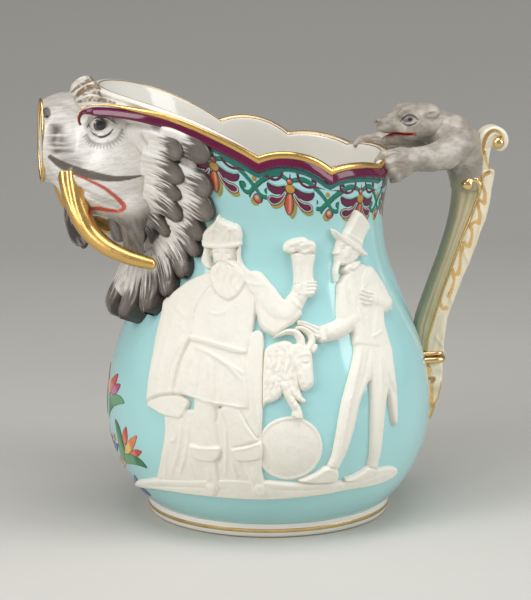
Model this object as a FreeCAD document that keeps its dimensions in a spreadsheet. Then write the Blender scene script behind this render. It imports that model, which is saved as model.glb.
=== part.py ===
import FreeCAD, Part
import os
import re

import Sketcher
from FreeCAD import Placement, Rotation, Vector

# A porcelain beer pitcher: a pear-shaped vessel on a turned foot, a walrus head for a spout, a bear
# that grips the rim and runs into a scrolled handle, and moulded figures on both sides of the belly.
# Origin: centre of the foot, on the plane it stands on. +Z up, spout towards -X, handle towards +X.

DRIVING = {
    # vessel profile, outside
    "foot_radius": 67.5,
    "foot_height": 9.0,
    "foot_wall": 8.0,
    "wall": 4.2,
    "belly_radius": 90.0,
    "belly_height": 59.6,
    "lower_arc": 70.0,
    "upper_arc": 114.0,
    "neck_radius": 62.8,
    "neck_height": 165.0,
    "neck_arc": 75.0,
    "join_height": 150.0,
    # plan of the rim and the spout
    "rim_radius": 66.0,
    "spout_radius": 68.0,
    "spout_reach": 30.0,
    "spout_top": 246.0,
    # rim line, from the handle to the spout
    "cusp_pitch": 35.0,
    "rim_rear": 198.7,
    "rim_middle": 201.5,
    "rim_side": 209.6,
    "rim_front": 240.6,
    "middle_arc": 42.0,
    "rear_arc": 55.0,
    "sweep_arc": 197.0,
    "moulding_depth": 9.0,
    "moulding_thick": 2.2,
    # walrus
    "mouth_front": 125.0,
    "mouth_height": 210.5,
    "mouth_half_width": 10.5,
    "mouth_half_height": 20.5,
    "muzzle_wall": 3.2,
    "bore_length": 70.0,
    "muzzle_length": 20.0,
    "lip_radius": 1.3,
    "head_length": 34.0,
    "head_half_width": 40.0,
    "head_half_height": 33.0,
    "tusk_root": 6.8,
    "tusk_tip": 2.7,
    "mane_thick": 5.5,
    "lock_step": 3.5,
    "fringe_thick": 12.0,
    # bear and handle
    "arm_radius": 7.5,
    "handle_width": 14.0,
    "leaf_cover": 1.0,
    "boss_radius": 3.3,
    # moulded figures
    "relief_thick": 4.5,
    "frieze_turn": 10.0,
}

doc = FreeCAD.newDocument("walrus_pitcher")
doc.addObject("Spreadsheet::Sheet", "dims")
for row, (alias, number) in enumerate(DRIVING.items(), start=1):
    doc.dims.set("A%d" % row, alias)
    doc.dims.set("B%d" % row, str(number))
    doc.dims.setAlias("B%d" % row, alias)
doc.recompute()

nodes = []


# ---------------------------------------------------------------- formulas, sketches and bodies

def formula(text):
    """Point each driving dimension that a formula names at its cell in the sheet."""
    return re.sub(r"[a-z]+(?:_[a-z]+)*", lambda m: "dims." + m[0] if m[0] in DRIVING else m[0], str(text))


def value(text):
    """Number that a formula gives."""
    return float(doc.dims.evalExpression(formula(text)))


def bind(item, formulas):
    for path, text in formulas.items():
        item.setExpression(path, formula(text))


def put(item, x, y, z):
    """Set an object's position from three formulas."""
    bind(item, {"Placement.Base.x": x, "Placement.Base.y": y, "Placement.Base.z": z})


def keep(item, label):
    """Mark an object as a finished sub-part."""
    item.Label = label
    nodes.append(item)
    return item


def sketch_on(body, role, name, lift=None):
    """Sketch on one of the body's own origin planes, raised by a formula."""
    sketch = body.newObject("Sketcher::SketchObject", name)
    plane = next(p for p in body.Origin.OriginFeatures if p.Role == role)
    sketch.AttachmentSupport = [(plane, "")]
    sketch.MapMode = "FlatFace"
    if lift is not None:
        bind(sketch, {"AttachmentOffset.Base.z": lift})
    return sketch


def outline(sketch, corners, arcs):
    """Closed outline through corners, each a pair of formulas, travelled anticlockwise.

    arcs gives a curved side's radius by the number of the corner it leaves: positive bulges outward,
    negative inward.
    """
    points = [Vector(value(x), value(y), 0) for x, y in corners]
    sides = []
    for number, start in enumerate(points):
        end = points[(number + 1) % len(points)]
        if number not in arcs:
            sides.append((sketch.addGeometry(Part.LineSegment(start, end), False), 1, 2))
            continue
        radius = value(arcs[number])
        half = (end - start) * 0.5
        inward = Vector(-half.y, half.x, 0).normalize() * (1 if radius > 0 else -1)
        centre = start + half + inward * (radius ** 2 - half.Length ** 2) ** 0.5
        first, last = (start, end) if radius > 0 else (end, start)
        angles = [Vector(1, 0, 0).getAngle(p - centre) * (1 if p.y >= centre.y else -1) for p in (first, last)]
        arc = Part.ArcOfCircle(Part.Circle(centre, Vector(0, 0, 1), abs(radius)), *angles)
        sides.append((sketch.addGeometry(arc, False),) + ((1, 2) if radius > 0 else (2, 1)))
    for number, (side, start, end) in enumerate(sides):
        following, first, _ = sides[(number + 1) % len(sides)]
        sketch.addConstraint(Sketcher.Constraint("Coincident", side, end, following, first))
        for kind, text, number_now in zip(("DistanceX", "DistanceY"), corners[number], points[number]):
            index = sketch.addConstraint(Sketcher.Constraint(kind, -1, 1, side, start, number_now))
            bind(sketch, {"Constraints[%d]" % index: text})
        if number in arcs:
            index = sketch.addConstraint(Sketcher.Constraint("Radius", side, abs(value(arcs[number]))))
            bind(sketch, {"Constraints[%d]" % index: "abs(%s)" % arcs[number]})


def new_body(name):
    return doc.addObject("PartDesign::Body", name)


def pad(name, role, corners, arcs, width):
    """Body padded to both sides of one of its origin planes."""
    body = new_body(name)
    sketch = sketch_on(body, role, name + "_sketch")
    outline(sketch, corners, arcs)
    feature = body.newObject("PartDesign::Pad", name + "_pad")
    feature.Profile = sketch
    feature.Midplane = True
    bind(feature, {"Length": width})
    return body


def cut(name, base, *tools):
    """Base with tools taken away, one after the other."""
    for number, tool in enumerate(tools):
        result = doc.addObject("Part::Cut", "%s_cut%d" % (name, number))
        result.Base = base
        result.Tool = tool
        base = result
    return base


def fuse(name, *shapes):
    result = doc.addObject("Part::MultiFuse", name)
    result.Shapes = list(shapes)
    return result


def common(name, base, tool):
    result = doc.addObject("Part::Common", name)
    result.Base = base
    result.Tool = tool
    return result


def ellipsoid(name, place, radii):
    """Ellipsoid at a place, with its half-lengths along X, Y and Z."""
    result = doc.addObject("Part::Ellipsoid", name)
    bind(result, {"Radius2": radii[0], "Radius3": radii[1], "Radius1": radii[2]})
    put(result, *place)
    return result


def tube(name, points, radii):
    """Solid of round section whose radius changes evenly along a smooth line through points."""
    line = Part.BSplineCurve()
    line.interpolate([Vector(*p) for p in points])
    first, last = line.FirstParameter, line.LastParameter
    rings = []
    for number, radius in enumerate(radii):
        at = first + (last - first) * number / (len(radii) - 1)
        rings.append(Part.Wire(Part.Circle(line.value(at), Vector(*line.tangent(at)[0]), radius).toShape()))
    result = doc.addObject("Part::Feature", name)
    result.Shape = Part.Wire(line.toShape()).makePipeShell(rings, True, False)
    return result


# ---------------------------------------------------------------- vessel

BELLY = ("(belly_radius - upper_arc)", "belly_height")
NECK = ("(neck_radius + neck_arc)", "neck_height")
SPAN = ("({0} - {1})".format(NECK[0], BELLY[0]), "(neck_height - belly_height)")
LEAN = "(atan2({1}; {0}) - acos((upper_arc + neck_arc) / sqrt({0}^2 + {1}^2)))".format(*SPAN)


def vessel_profile(grow):
    """Half profile of the turned vessel up to the neck, grown outward by a formula."""
    foot = "(foot_height - {0})".format(grow)
    upper = "(upper_arc + {0})".format(grow)
    neck = "(neck_arc - {0})".format(grow)
    foot_edge = "belly_radius - lower_arc + sqrt((lower_arc + {0})^2 - (belly_height - {1})^2)".format(grow, foot)
    join_edge = "{0} - sqrt({1}^2 - (neck_height - join_height)^2)".format(NECK[0], neck)
    corners = [
        ("0", foot),
        (foot_edge, foot),
        ("belly_radius + " + grow, "belly_height"),
        ("{0} + {1} * cos({2})".format(BELLY[0], upper, LEAN), "belly_height + {0} * sin({1})".format(upper, LEAN)),
        ("{0} - {1} * cos({2})".format(NECK[0], neck, LEAN), "neck_height - {0} * sin({1})".format(neck, LEAN)),
        (join_edge, "join_height"),
        ("0", "join_height"),
    ]
    return corners, {1: "lower_arc + " + grow, 2: upper, 4: "-" + neck}


def spout_plan(rear, front, reach):
    """Plan of the neck at one height: two circles, the front one moved forward, and their tangents."""
    lean = "(({1} - {0}) / {2})".format(rear, front, reach)
    side = "sqrt(1 - {0}^2)".format(lean)
    rear_x, rear_y = "{0} * {1}".format(rear, lean), "{0} * {1}".format(rear, side)
    front_x, front_y = "{0} * {1} - {2}".format(front, lean, reach), "{0} * {1}".format(front, side)
    corners = [
        (rear, "0"),
        (rear_x, rear_y),
        (front_x, front_y),
        ("-{0} - {1}".format(reach, front), "0"),
        (front_x, "-" + front_y),
        (rear_x, "-" + rear_y),
    ]
    return corners, {0: rear, 2: front, 3: front, 5: rear}


def neck_levels(grow):
    """Height, rear radius, front radius and forward reach of the neck's sections."""
    join = "({0} - sqrt((neck_arc - {1})^2 - (neck_height - join_height)^2))".format(NECK[0], grow)
    levels = [("join_height", join, join, "0.5")]
    for share, rear in ((0.0, "neck_radius"), (0.28, "rim_radius - 0.6"), (0.55, "rim_radius"), (1.0, "rim_radius")):
        front = "(neck_radius + (spout_radius - neck_radius) * {0} + {1})".format(share, grow)
        reach = "(spout_reach * (0.06 + {0}))".format(share)
        height = "neck_height + (spout_top - neck_height) * {0}".format(share)
        levels.append((height, "({0} + {1})".format(rear, grow), front, reach))
    return levels


def vessel_form(name, grow):
    """Solid form of the vessel, grown outward by a formula: turned belly, then the neck lofted to the spout."""
    body = new_body(name)
    profile = sketch_on(body, "XZ_Plane", name + "_profile")
    outline(profile, *vessel_profile(grow))
    belly = body.newObject("PartDesign::Revolution", name + "_belly")
    belly.Profile = profile
    belly.ReferenceAxis = (profile, ["V_Axis"])
    sections = []
    for number, (height, rear, front, reach) in enumerate(neck_levels(grow)):
        section = sketch_on(body, "XY_Plane", "%s_section%d" % (name, number), height)
        outline(section, *spout_plan(rear, front, reach))
        sections.append(section)
    neck = body.newObject("PartDesign::AdditiveLoft", name + "_neck")
    neck.Profile = sections[0]
    neck.Sections = sections[1:]
    return body


def rim_trim(name, drop):
    """Everything above the rim line lowered by a formula: three scallops, then the long rise to the spout."""
    def cusp(count):
        return "rim_radius * cos(cusp_pitch * %d)" % count
    corners = [
        ("rim_radius + 60", "rim_front + 60"),
        ("-mouth_front - 20", "rim_front + 60"),
        ("-mouth_front - 20", "rim_front - {0}".format(drop)),
        ("-spout_reach - spout_radius", "rim_front - {0}".format(drop)),
        (cusp(3), "rim_side - {0}".format(drop)),
        (cusp(2), "rim_middle - {0}".format(drop)),
        (cusp(1), "rim_rear - {0}".format(drop)),
        ("rim_radius + 4", "rim_rear + 3 - {0}".format(drop)),
        ("rim_radius + 60", "rim_rear + 3 - {0}".format(drop)),
    ]
    arcs = {3: "-sweep_arc", 4: "-middle_arc", 5: "-rear_arc", 6: "-rear_arc"}
    return pad(name, "XZ_Plane", corners, arcs, "4 * spout_radius")


vessel_blank = vessel_form("vessel_blank", "0")
vessel_hollow = vessel_form("vessel_hollow", "(-wall)")
rim_above = rim_trim("rim_above", "0")


def muzzle_ellipse(name, x, half_width, half_height):
    """Upright ellipse across the muzzle, at a formula's distance along X."""
    ring = doc.addObject("Part::Ellipse", name)
    bind(ring, {"MajorRadius": half_height, "MinorRadius": half_width})
    ring.Placement = Placement(Vector(), Rotation(Vector(0, 1, 0), -90))
    put(ring, x, "0", "mouth_height")
    return ring


def spout_bore():
    """Oval passage from the walrus's mouth back through the front of the vessel."""
    bore = doc.addObject("Part::Extrusion", "spout_bore")
    bore.Base = muzzle_ellipse("bore_mouth", "-mouth_front - 10", "mouth_half_width", "mouth_half_height")
    bore.Dir = Vector(1, 0, 0)
    bore.DirMode = "Custom"
    bore.Solid = True
    bind(bore, {"LengthFwd": "bore_length"})
    return bore


bore = spout_bore()


def make_vessel():
    keep(cut("vessel_body", vessel_blank, vessel_hollow, rim_above, bore), "vessel_body")


def make_foot_ring():
    """Turned ring that the vessel stands on, rounded where it meets the table."""
    body = new_body("foot_ring_body")
    section = sketch_on(body, "XZ_Plane", "foot_section")
    corners = [
        ("foot_radius - foot_wall", "0"),
        ("foot_radius - 2.5", "0"),
        ("foot_radius", "2.5"),
        ("foot_radius", "foot_height"),
        ("foot_radius - foot_wall", "foot_height"),
    ]
    outline(section, corners, {1: "2.5"})
    ring = body.newObject("PartDesign::Revolution", "foot_turning")
    ring.Profile = section
    ring.ReferenceAxis = (section, ["V_Axis"])
    keep(body, "foot_ring")


def make_rim_moulding():
    """Raised cordon under the rim line, round the back from one brow to the other."""
    blank = vessel_form("moulding_blank", "moulding_thick")
    band = common("moulding_band", blank, rim_trim("rim_below", "moulding_depth"))
    return keep(cut("rim_moulding", band, rim_above, vessel_blank, bore), "rim_moulding")


# ---------------------------------------------------------------- walrus

def make_head(moulding):
    """Mask that covers the front of the neck: skull, cheeks and brow bulge, open for the spout passage."""
    skull = ellipsoid("skull", ("-78", "0", "205"), ("head_length", "head_half_width", "head_half_height"))
    cheeks = [ellipsoid("cheek_%s" % side, ("-88", "%s24" % sign, "191"), ("20", "17", "20"))
              for side, sign in (("right", "-"), ("left", ""))]
    mass = fuse("head_mass", skull, *cheeks)
    return keep(cut("walrus_head", mass, vessel_blank, moulding, rim_above, bore), "walrus_head")


def make_muzzle(head):
    """Oval tube with the open mouth, luted to the front of the mask, and the gilt lip round its end."""
    front = "-mouth_front"
    shell = doc.addObject("Part::Loft", "muzzle_blank")
    shell.Sections = [
        muzzle_ellipse("muzzle_front", front, "mouth_half_width + muzzle_wall", "mouth_half_height + muzzle_wall"),
        muzzle_ellipse("muzzle_middle", front + " + muzzle_length * 0.45", "20", "25.5"),
        muzzle_ellipse("muzzle_back", front + " + muzzle_length", "25", "26"),
    ]
    shell.Solid = True
    muzzle = keep(cut("walrus_muzzle", shell, bore, head), "walrus_muzzle")

    middle = "muzzle_wall / 2"
    track = muzzle_ellipse("lip_track", front, "mouth_half_width + " + middle, "mouth_half_height + " + middle)
    section = doc.addObject("Part::Circle", "lip_section")
    bind(section, {"Radius": "lip_radius"})
    put(section, front, "0", "mouth_height + mouth_half_height + " + middle)
    section.Placement.Rotation = Rotation(Vector(1, 0, 0), 90)
    lip = doc.addObject("Part::Sweep", "lip_ring")
    lip.Sections = [section]
    lip.Spine = (track, ["Edge1"])
    lip.Solid = True
    keep(cut("mouth_lip", lip, muzzle), "mouth_lip")
    return muzzle


def make_jaw(head, muzzle):
    """Lower jaw and the tuft that hangs from the chin."""
    blank = ellipsoid("jaw_blank", ("-97", "0", "177"), ("17", "22", "9"))
    jaw = keep(cut("lower_jaw", blank, head, muzzle, vessel_blank), "lower_jaw")
    tuft = ellipsoid("tuft_blank", ("-107", "0", "165"), ("7", "8", "14"))
    keep(cut("chin_tuft", tuft, jaw, muzzle), "chin_tuft")
    return jaw


def make_tusk(side, sign, head, muzzle, jaw, fringe):
    """Tusk that drops from the lip, then sweeps back and out beside the neck."""
    points = [(-110, sign * 19, 197), (-108, sign * 24, 180), (-100, sign * 33, 163), (-86, sign * 43, 154),
              (-70, sign * 51, 152)]
    root, tip = value("tusk_root"), value("tusk_tip")
    blank = tube("tusk_%s_blank" % side, points, [root, root * 0.85, (root + tip) / 2, tip])
    keep(cut("tusk_" + side, blank, head, muzzle, jaw, fringe), "tusk_" + side)


def sheet_prism(name, corners, direction, turn=0):
    """Flat outline in the XZ plane, pushed outward; a third number bows a side out by that share of its length."""
    points = [Vector(corner[0], 0, corner[1]) for corner in corners]
    edges = []
    for number, start in enumerate(points):
        end = points[(number + 1) % len(points)]
        if len(corners[number]) == 2:
            edges.append(Part.makeLine(start, end))
            continue
        along = end - start
        middle = start + along * 0.5 + Vector(-along.z, 0, along.x) * corners[number][2]
        edges.append(Part.Arc(start, middle, end).toShape())
    result = doc.addObject("Part::Feature", name)
    result.Shape = Part.Face(Part.Wire(edges)).extrude(direction)
    result.Placement = Placement(Vector(), Rotation(Vector(0, 0, 1), turn))
    return result


def skin(name, thickness):
    """Shell of even thickness round the outside of the vessel."""
    return cut(name, vessel_form(name + "_form", thickness), vessel_blank)


# Side views of the mane, (x, z): lock tips bow out, the valleys between them are plain corners.
INNER_ROW = [(-76, 228), (-63, 224), (-60, 207, 0.25), (-62, 192, 0.25), (-63, 178, 0.25), (-70, 163),
             (-72, 180)]
OUTER_ROW = [(-60, 228), (-44, 217, 0.2), (-47, 201, 0.2), (-46, 187, 0.25), (-49, 168, 0.25), (-55, 155),
             (-58, 170), (-62, 200)]
FRINGE_EDGE = [(-34, 150), (-26, 165), (26, 165), (34, 150), (36, 128, 0.2), (24, 116, 0.2), (12, 111, 0.2),
               (0, 112, 0.2), (-12, 111, 0.2), (-24, 116, 0.2), (-36, 128)]


def make_mane(head, moulding):
    """Fringe under the throat and two rows of lapped locks behind each cheek."""
    fringe_blank = sheet_prism("fringe_outline", FRINGE_EDGE, Vector(0, 140, 0), 90)
    fringe = common("fringe_skin", skin("fringe_shell", "fringe_thick"), fringe_blank)
    fringe = keep(cut("throat_fringe", fringe, head), "throat_fringe")
    inner_shell = skin("inner_shell", "(mane_thick + lock_step)")
    outer_shell = skin("outer_shell", "mane_thick")
    for side, sign in (("right", -1), ("left", 1)):
        out = Vector(0, sign * 140, 0)
        inner = common("inner_skin_" + side, inner_shell, sheet_prism("inner_outline_" + side, INNER_ROW, out))
        inner = keep(cut("mane_inner_" + side, inner, head, moulding, fringe), "mane_inner_" + side)
        outer = common("outer_skin_" + side, outer_shell, sheet_prism("outer_outline_" + side, OUTER_ROW, out))
        keep(cut("mane_outer_" + side, outer, inner, head, moulding, fringe), "mane_outer_" + side)
    return fringe


def make_forelock(head, muzzle, moulding):
    """Rolled tuft of hair across the front of the spout."""
    tuft = ellipsoid("forelock_blank", ("-99", "0", "236"), ("10", "20", "7.5"))
    keep(cut("forelock", tuft, head, muzzle, moulding, vessel_blank, bore), "forelock")


def make_face(side, sign, head, muzzle, moulding):
    """Brow that carries the rim cordon over the eye, and the eyeball under it."""
    points = [(-92, sign * 33, 233.5), (-102, sign * 27, 234), (-109, sign * 23, 229), (-107, sign * 26, 222)]
    blank = tube("brow_%s_blank" % side, points, [4.0, 3.6, 3.0, 1.2])
    brow = keep(cut("brow_" + side, blank, head, muzzle, moulding, vessel_blank), "brow_" + side)
    ball = ellipsoid("eye_%s_ball" % side, ("-96", str(sign * 29), "222.5"), ("4.6", "4.2", "4.6"))
    keep(cut("eye_" + side, ball, head, muzzle), "eye_" + side)


# ---------------------------------------------------------------- bear and handle

def make_handle():
    """Leaning shaft from the bear's flank down to the belly, with its gilt leaf, collar, tail leaf and scroll."""
    corners = [
        ("84", "80"), ("97.5", "80"), ("98.3", "91"), ("101.2", "108"), ("115.7", "145"), ("124.5", "187"),
        ("104.3", "187"), ("104.3", "179"), ("97.3", "143"), ("83.5", "101"),
    ]
    arcs = {2: "150", 4: "160", 7: "220"}
    shaft_blank = pad("shaft_blank", "XZ_Plane", corners, arcs, "handle_width")
    shaft = keep(cut("handle_shaft", shaft_blank, vessel_blank), "handle_shaft")

    corners = [
        ("91", "84"), ("99.3", "84"), ("99.3 + leaf_cover", "91"), ("102.2 + leaf_cover", "108"),
        ("116.7 + leaf_cover", "145"), ("125.5 + leaf_cover", "187"), ("115", "187"), ("106.5", "150"), ("95", "112"),
    ]
    arcs = {3: "-500", 4: "160"}
    leaf_blank = pad("leaf_blank", "XZ_Plane", corners, arcs, "handle_width + 2 * leaf_cover")
    leaf = keep(cut("handle_leaf", leaf_blank, shaft), "handle_leaf")

    corners = [("84", "78.5"), ("99.6", "78.5"), ("99.6", "84"), ("84", "84")]
    collar_blank = pad("collar_blank", "XZ_Plane", corners, {1: "3"}, "handle_width + 3")
    collar = keep(cut("handle_collar", collar_blank, shaft, leaf, vessel_blank), "handle_collar")

    side = pad("tail_side", "XZ_Plane", [("70", "45"), ("93.2", "45"), ("98.2", "66"), ("98.2", "79"), ("70", "79")],
               {1: "30"}, "handle_width")
    front = pad("tail_front", "YZ_Plane", [("0", "45"), ("6.5", "66"), ("6.5", "79"), ("-6.5", "79"), ("-6.5", "66")],
                {0: "18", 4: "18"}, "4 * belly_radius")
    tail = common("tail_form", side, front)
    keep(cut("handle_tail_leaf", tail, collar, shaft, vessel_blank), "handle_tail_leaf")

    points = [(119.5, 0, 186), (120.5, 0, 197), (124.5, 0, 207.5), (130.5, 0, 207.5), (129.5, 0, 202)]
    scroll_blank = tube("scroll_blank", points, [4.6, 3.6, 3.2, 2.6, 2.2])
    scroll = keep(cut("handle_scroll", scroll_blank, shaft, leaf), "handle_scroll")
    for side, sign in (("right", "-"), ("left", "")):
        for name, x, y, z, hosts in (("volute_boss", "129.3", "3.4", "203.0", [scroll]),
                                     ("shaft_boss", "110.4", "handle_width / 2 + 1", "180.5", [shaft, leaf])):
            ball = doc.addObject("Part::Sphere", "%s_%s_ball" % (name, side))
            bind(ball, {"Radius": "boss_radius"})
            put(ball, x, sign + "({0})".format(y), z)
            keep(cut("%s_%s" % (name, side), ball, *hosts), "%s_%s" % (name, side))
    return shaft, leaf, scroll


def make_bear(moulding, shaft, leaf, scroll):
    """Bear leaning over the rim: trunk, head with its open jaws, ears, and a foreleg on each side."""
    trunk = tube("trunk_blank", [(112, 0, 181), (113, 0, 197), (103, 0, 208), (90, 0, 214)], [9.5, 12.0, 11.5, 9.5])
    trunk = keep(cut("bear_trunk", trunk, shaft, leaf, scroll, vessel_blank, moulding), "bear_trunk")
    skull = ellipsoid("bear_skull", ("81", "0", "216.5"), ("12.5", "11.5", "9.5"))
    snout = ellipsoid("bear_snout", ("70", "0", "213.5"), ("10", "6.5", "4.8"))
    jaw = ellipsoid("bear_jaw", ("72", "0", "207.5"), ("9.5", "5", "3.2"))
    head = keep(cut("bear_head", fuse("bear_head_mass", skull, snout, jaw), trunk, vessel_blank), "bear_head")
    for side, sign in (("right", -1), ("left", 1)):
        ear = ellipsoid("ear_%s_blank" % side, ("88", str(sign * 11.5), "221.5"), ("2.6", "3.4", "4.2"))
        keep(cut("bear_ear_" + side, ear, head, trunk), "bear_ear_" + side)
        points = [(104, sign * 9, 201), (88, sign * 20, 199), (74, sign * 25, 200), (60, sign * 26, 202)]
        radius = value("arm_radius")
        arm = tube("arm_%s_blank" % side, points, [radius + 1, radius, radius, radius, radius - 1.5])
        arm = cut("bear_arm_" + side, arm, trunk, head, shaft, vessel_blank, moulding, vessel_hollow)
        keep(arm, "bear_arm_" + side)


# ---------------------------------------------------------------- moulded figures

# Outlines on the belly, clockwise: distance to the right of the middle of the scene, height, and the bow
# of the side that starts there.
GROUND = [(-69, 30), (-59, 33), (1, 37, 0.03), (67, 38), (69, 35), (62, 30), (-4, 26, -0.03), (-62, 25)]
ROBED_MAN = [(-27, 178), (-20, 174), (-15, 172), (-15, 154), (-11, 147), (0, 140, 0.1), (3, 131), (11, 130),
             (14, 124), (9, 118, 0.1), (-3, 117), (-2, 67), (-3, 32), (-60, 30), (-57, 50, 0.05), (-55, 70),
             (-64, 74), (-55, 126, 0.03), (-46, 137, 0.1), (-31, 146), (-35, 150), (-33, 157), (-34, 163)]
BEAKER = [(8, 159), (10, 164, 0.2), (24, 163), (25, 156), (24, 135), (19, 130), (17, 125), (9, 126), (10, 137),
          (13, 141), (12, 156)]
BARREL = [(11, 37, 0.5), (11, 74, 0.5)]
GOAT = [(-2, 108), (9, 112), (5, 116), (13, 120, 0.2), (24, 112, 0.1), (25, 103), (24, 90, 0.3), (19, 87),
        (18, 70), (11, 70), (12, 78), (5, 84), (-4, 80)]
HATTED_MAN = [(46, 176), (50, 175), (52, 167), (48, 155), (50, 151), (48, 148), (54, 144), (60, 132, 0.05),
              (65, 119), (61, 118), (67, 91, 0.05), (68, 61), (66, 61), (62, 80), (62, 61), (59, 44), (55, 34),
              (40, 34), (50, 42), (53, 60), (52, 87), (42, 55), (36, 44), (35, 34), (23, 34), (31, 48),
              (35, 66), (43, 98), (44, 112), (28, 110), (17, 120), (35, 120), (35, 150), (33, 155), (36, 162),
              (33, 168), (40, 164)]


def make_frieze(side, sign):
    """One scene of sprigs: robed man with a raised beaker, goat over a barrel, hatted man, and their ground."""
    out = Vector(0, sign * 140, 0)
    turn = sign * value("frieze_turn")
    prisms = {name: sheet_prism("%s_%s_outline" % (name, side), corners, out, turn) for name, corners in (
        ("frieze_ground", GROUND), ("robed_man", ROBED_MAN), ("beaker", BEAKER), ("barrel", BARREL),
        ("goat", GOAT), ("hatted_man", HATTED_MAN))}
    laid = []
    for name, prism in prisms.items():
        label = "%s_%s" % (name, side)
        clear = cut(label + "_clear", prism, *laid)
        keep(common(label, relief_shell, clear), label)
        laid.append(prism)


make_vessel()
make_foot_ring()
moulding = make_rim_moulding()
head = make_head(moulding)
muzzle = make_muzzle(head)
jaw = make_jaw(head, muzzle)
fringe = make_mane(head, moulding)
make_forelock(head, muzzle, moulding)
for side, sign in (("right", -1), ("left", 1)):
    make_tusk(side, sign, head, muzzle, jaw, fringe)
    make_face(side, sign, head, muzzle, moulding)
shaft, leaf, scroll = make_handle()
make_bear(moulding, shaft, leaf, scroll)
relief_shell = skin("relief_shell", "relief_thick")
for side, sign in (("right", -1), ("left", 1)):
    make_frieze(side, sign)

doc.recompute()
failed = [item.Name for item in doc.Objects if "Invalid" in item.State or "Error" in item.State]
for item in nodes:
    if item.Shape.isNull() or not item.Shape.isValid() or not item.Shape.Solids:
        failed.append(item.Label)
if failed:
    raise SystemExit("not built: " + ", ".join(failed))

os.makedirs("parts", exist_ok=True)
for item in nodes:
    item.Shape.exportStep("parts/%s.step" % item.Label)
    print("%-22s %2d solid(s) %9.1f mm3" % (item.Label, len(item.Shape.Solids), item.Shape.Volume))
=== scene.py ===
"""Looks of the walrus and bear beer pitcher: glazes, enamels, gilding, hair, fur and the moulded figures."""
import math

import bpy
import numpy as np
from mathutils import Matrix, Vector


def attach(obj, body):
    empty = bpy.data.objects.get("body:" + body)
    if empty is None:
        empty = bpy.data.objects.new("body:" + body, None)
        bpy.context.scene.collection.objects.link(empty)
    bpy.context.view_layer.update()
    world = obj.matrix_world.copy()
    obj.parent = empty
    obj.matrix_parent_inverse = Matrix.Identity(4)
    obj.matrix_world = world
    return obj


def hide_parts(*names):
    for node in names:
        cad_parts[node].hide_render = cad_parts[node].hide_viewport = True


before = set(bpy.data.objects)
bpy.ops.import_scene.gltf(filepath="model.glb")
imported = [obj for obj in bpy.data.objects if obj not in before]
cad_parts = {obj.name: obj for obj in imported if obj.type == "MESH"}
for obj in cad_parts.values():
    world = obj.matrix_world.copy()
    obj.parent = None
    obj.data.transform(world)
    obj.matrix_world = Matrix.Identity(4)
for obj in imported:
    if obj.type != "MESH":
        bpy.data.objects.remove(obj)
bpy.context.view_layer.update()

MM = 0.001
SIDES = (("right", -1), ("left", 1))


# ---------------------------------------------------------------- numbers and fields

def srgb(red, green, blue):
    c = np.array([red, green, blue]) / 255.0
    return np.where(c <= 0.04045, c / 12.92, ((c + 0.055) / 1.055) ** 2.4)


def ramp(x, low, high):
    t = np.clip((x - low) / (high - low), 0.0, 1.0)
    return t * t * (3.0 - 2.0 * t)


def mix(a, b, t):
    t = np.asarray(t)
    if np.ndim(a) == 1 or np.ndim(b) == 1 or np.ndim(a) > np.ndim(t):
        t = t[..., None]
    return a * (1.0 - t) + b * t


def eased(x, xs, ys):
    """Smooth curve through the points (xs, ys)."""
    xs, ys = np.asarray(xs, float), np.asarray(ys, float)
    slope = np.gradient(ys, xs)
    i = np.clip(np.searchsorted(xs, x) - 1, 0, len(xs) - 2)
    h = xs[i + 1] - xs[i]
    t = np.clip((x - xs[i]) / h, 0.0, 1.0)
    return ((1 + 2 * t) * (1 - t) ** 2 * ys[i] + t * (1 - t) ** 2 * h * slope[i]
            + t * t * (3 - 2 * t) * ys[i + 1] + t * t * (t - 1) * h * slope[i + 1])


def curve(points, count=40):
    """Points of a smooth open curve through the given ones."""
    points = np.asarray(points, float)
    knots = np.arange(len(points), dtype=float)
    at = np.linspace(0, len(points) - 1, count)
    return np.stack([eased(at, knots, points[:, k]) for k in range(points.shape[1])], -1)


LATTICE = np.random.default_rng(11).random((32, 32, 32))


def noise(*coords):
    """Smooth random field from 0 to 1 over one to three coordinates, one cell per unit."""
    coords = [np.asarray(c, float) for c in coords] + [np.zeros(1)] * (3 - len(coords))
    base = [np.floor(c).astype(int) for c in coords]
    part = [c - b for c, b in zip(coords, base)]
    part = [p * p * (3 - 2 * p) for p in part]
    total = 0.0
    for i in (0, 1):
        for j in (0, 1):
            for k in (0, 1):
                weight = ((part[0] if i else 1 - part[0]) * (part[1] if j else 1 - part[1])
                          * (part[2] if k else 1 - part[2]))
                total = total + weight * LATTICE[(base[0] + i) % 32, (base[1] + j) % 32, (base[2] + k) % 32]
    return total


def smin(a, b, k):
    h = np.clip(0.5 + 0.5 * (b - a) / k, 0.0, 1.0)
    return b * (1 - h) + a * h - k * h * (1 - h)


def smax(a, b, k):
    return -smin(-a, -b, k)


def line_distance(x, y, points, radii=0.0):
    """Distance to a chain of points less its radius there, and how far along the chain, 0 to 1, the nearest is."""
    points = np.asarray(points, float)
    radii = np.broadcast_to(np.asarray(radii, float), (len(points),))
    best = np.full(np.shape(x), 1e9)
    along = np.zeros(np.shape(x))
    last = len(points) - 1
    for i in range(last):
        (ax, ay), (bx, by) = points[i][:2], points[i + 1][:2]
        dx, dy = bx - ax, by - ay
        t = np.clip(((x - ax) * dx + (y - ay) * dy) / max(dx * dx + dy * dy, 1e-9), 0.0, 1.0)
        d = np.hypot(x - ax - t * dx, y - ay - t * dy) - (radii[i] + (radii[i + 1] - radii[i]) * t)
        near = d < best
        best = np.where(near, d, best)
        along = np.where(near, (i + t) / last, along)
    return best, along


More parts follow.
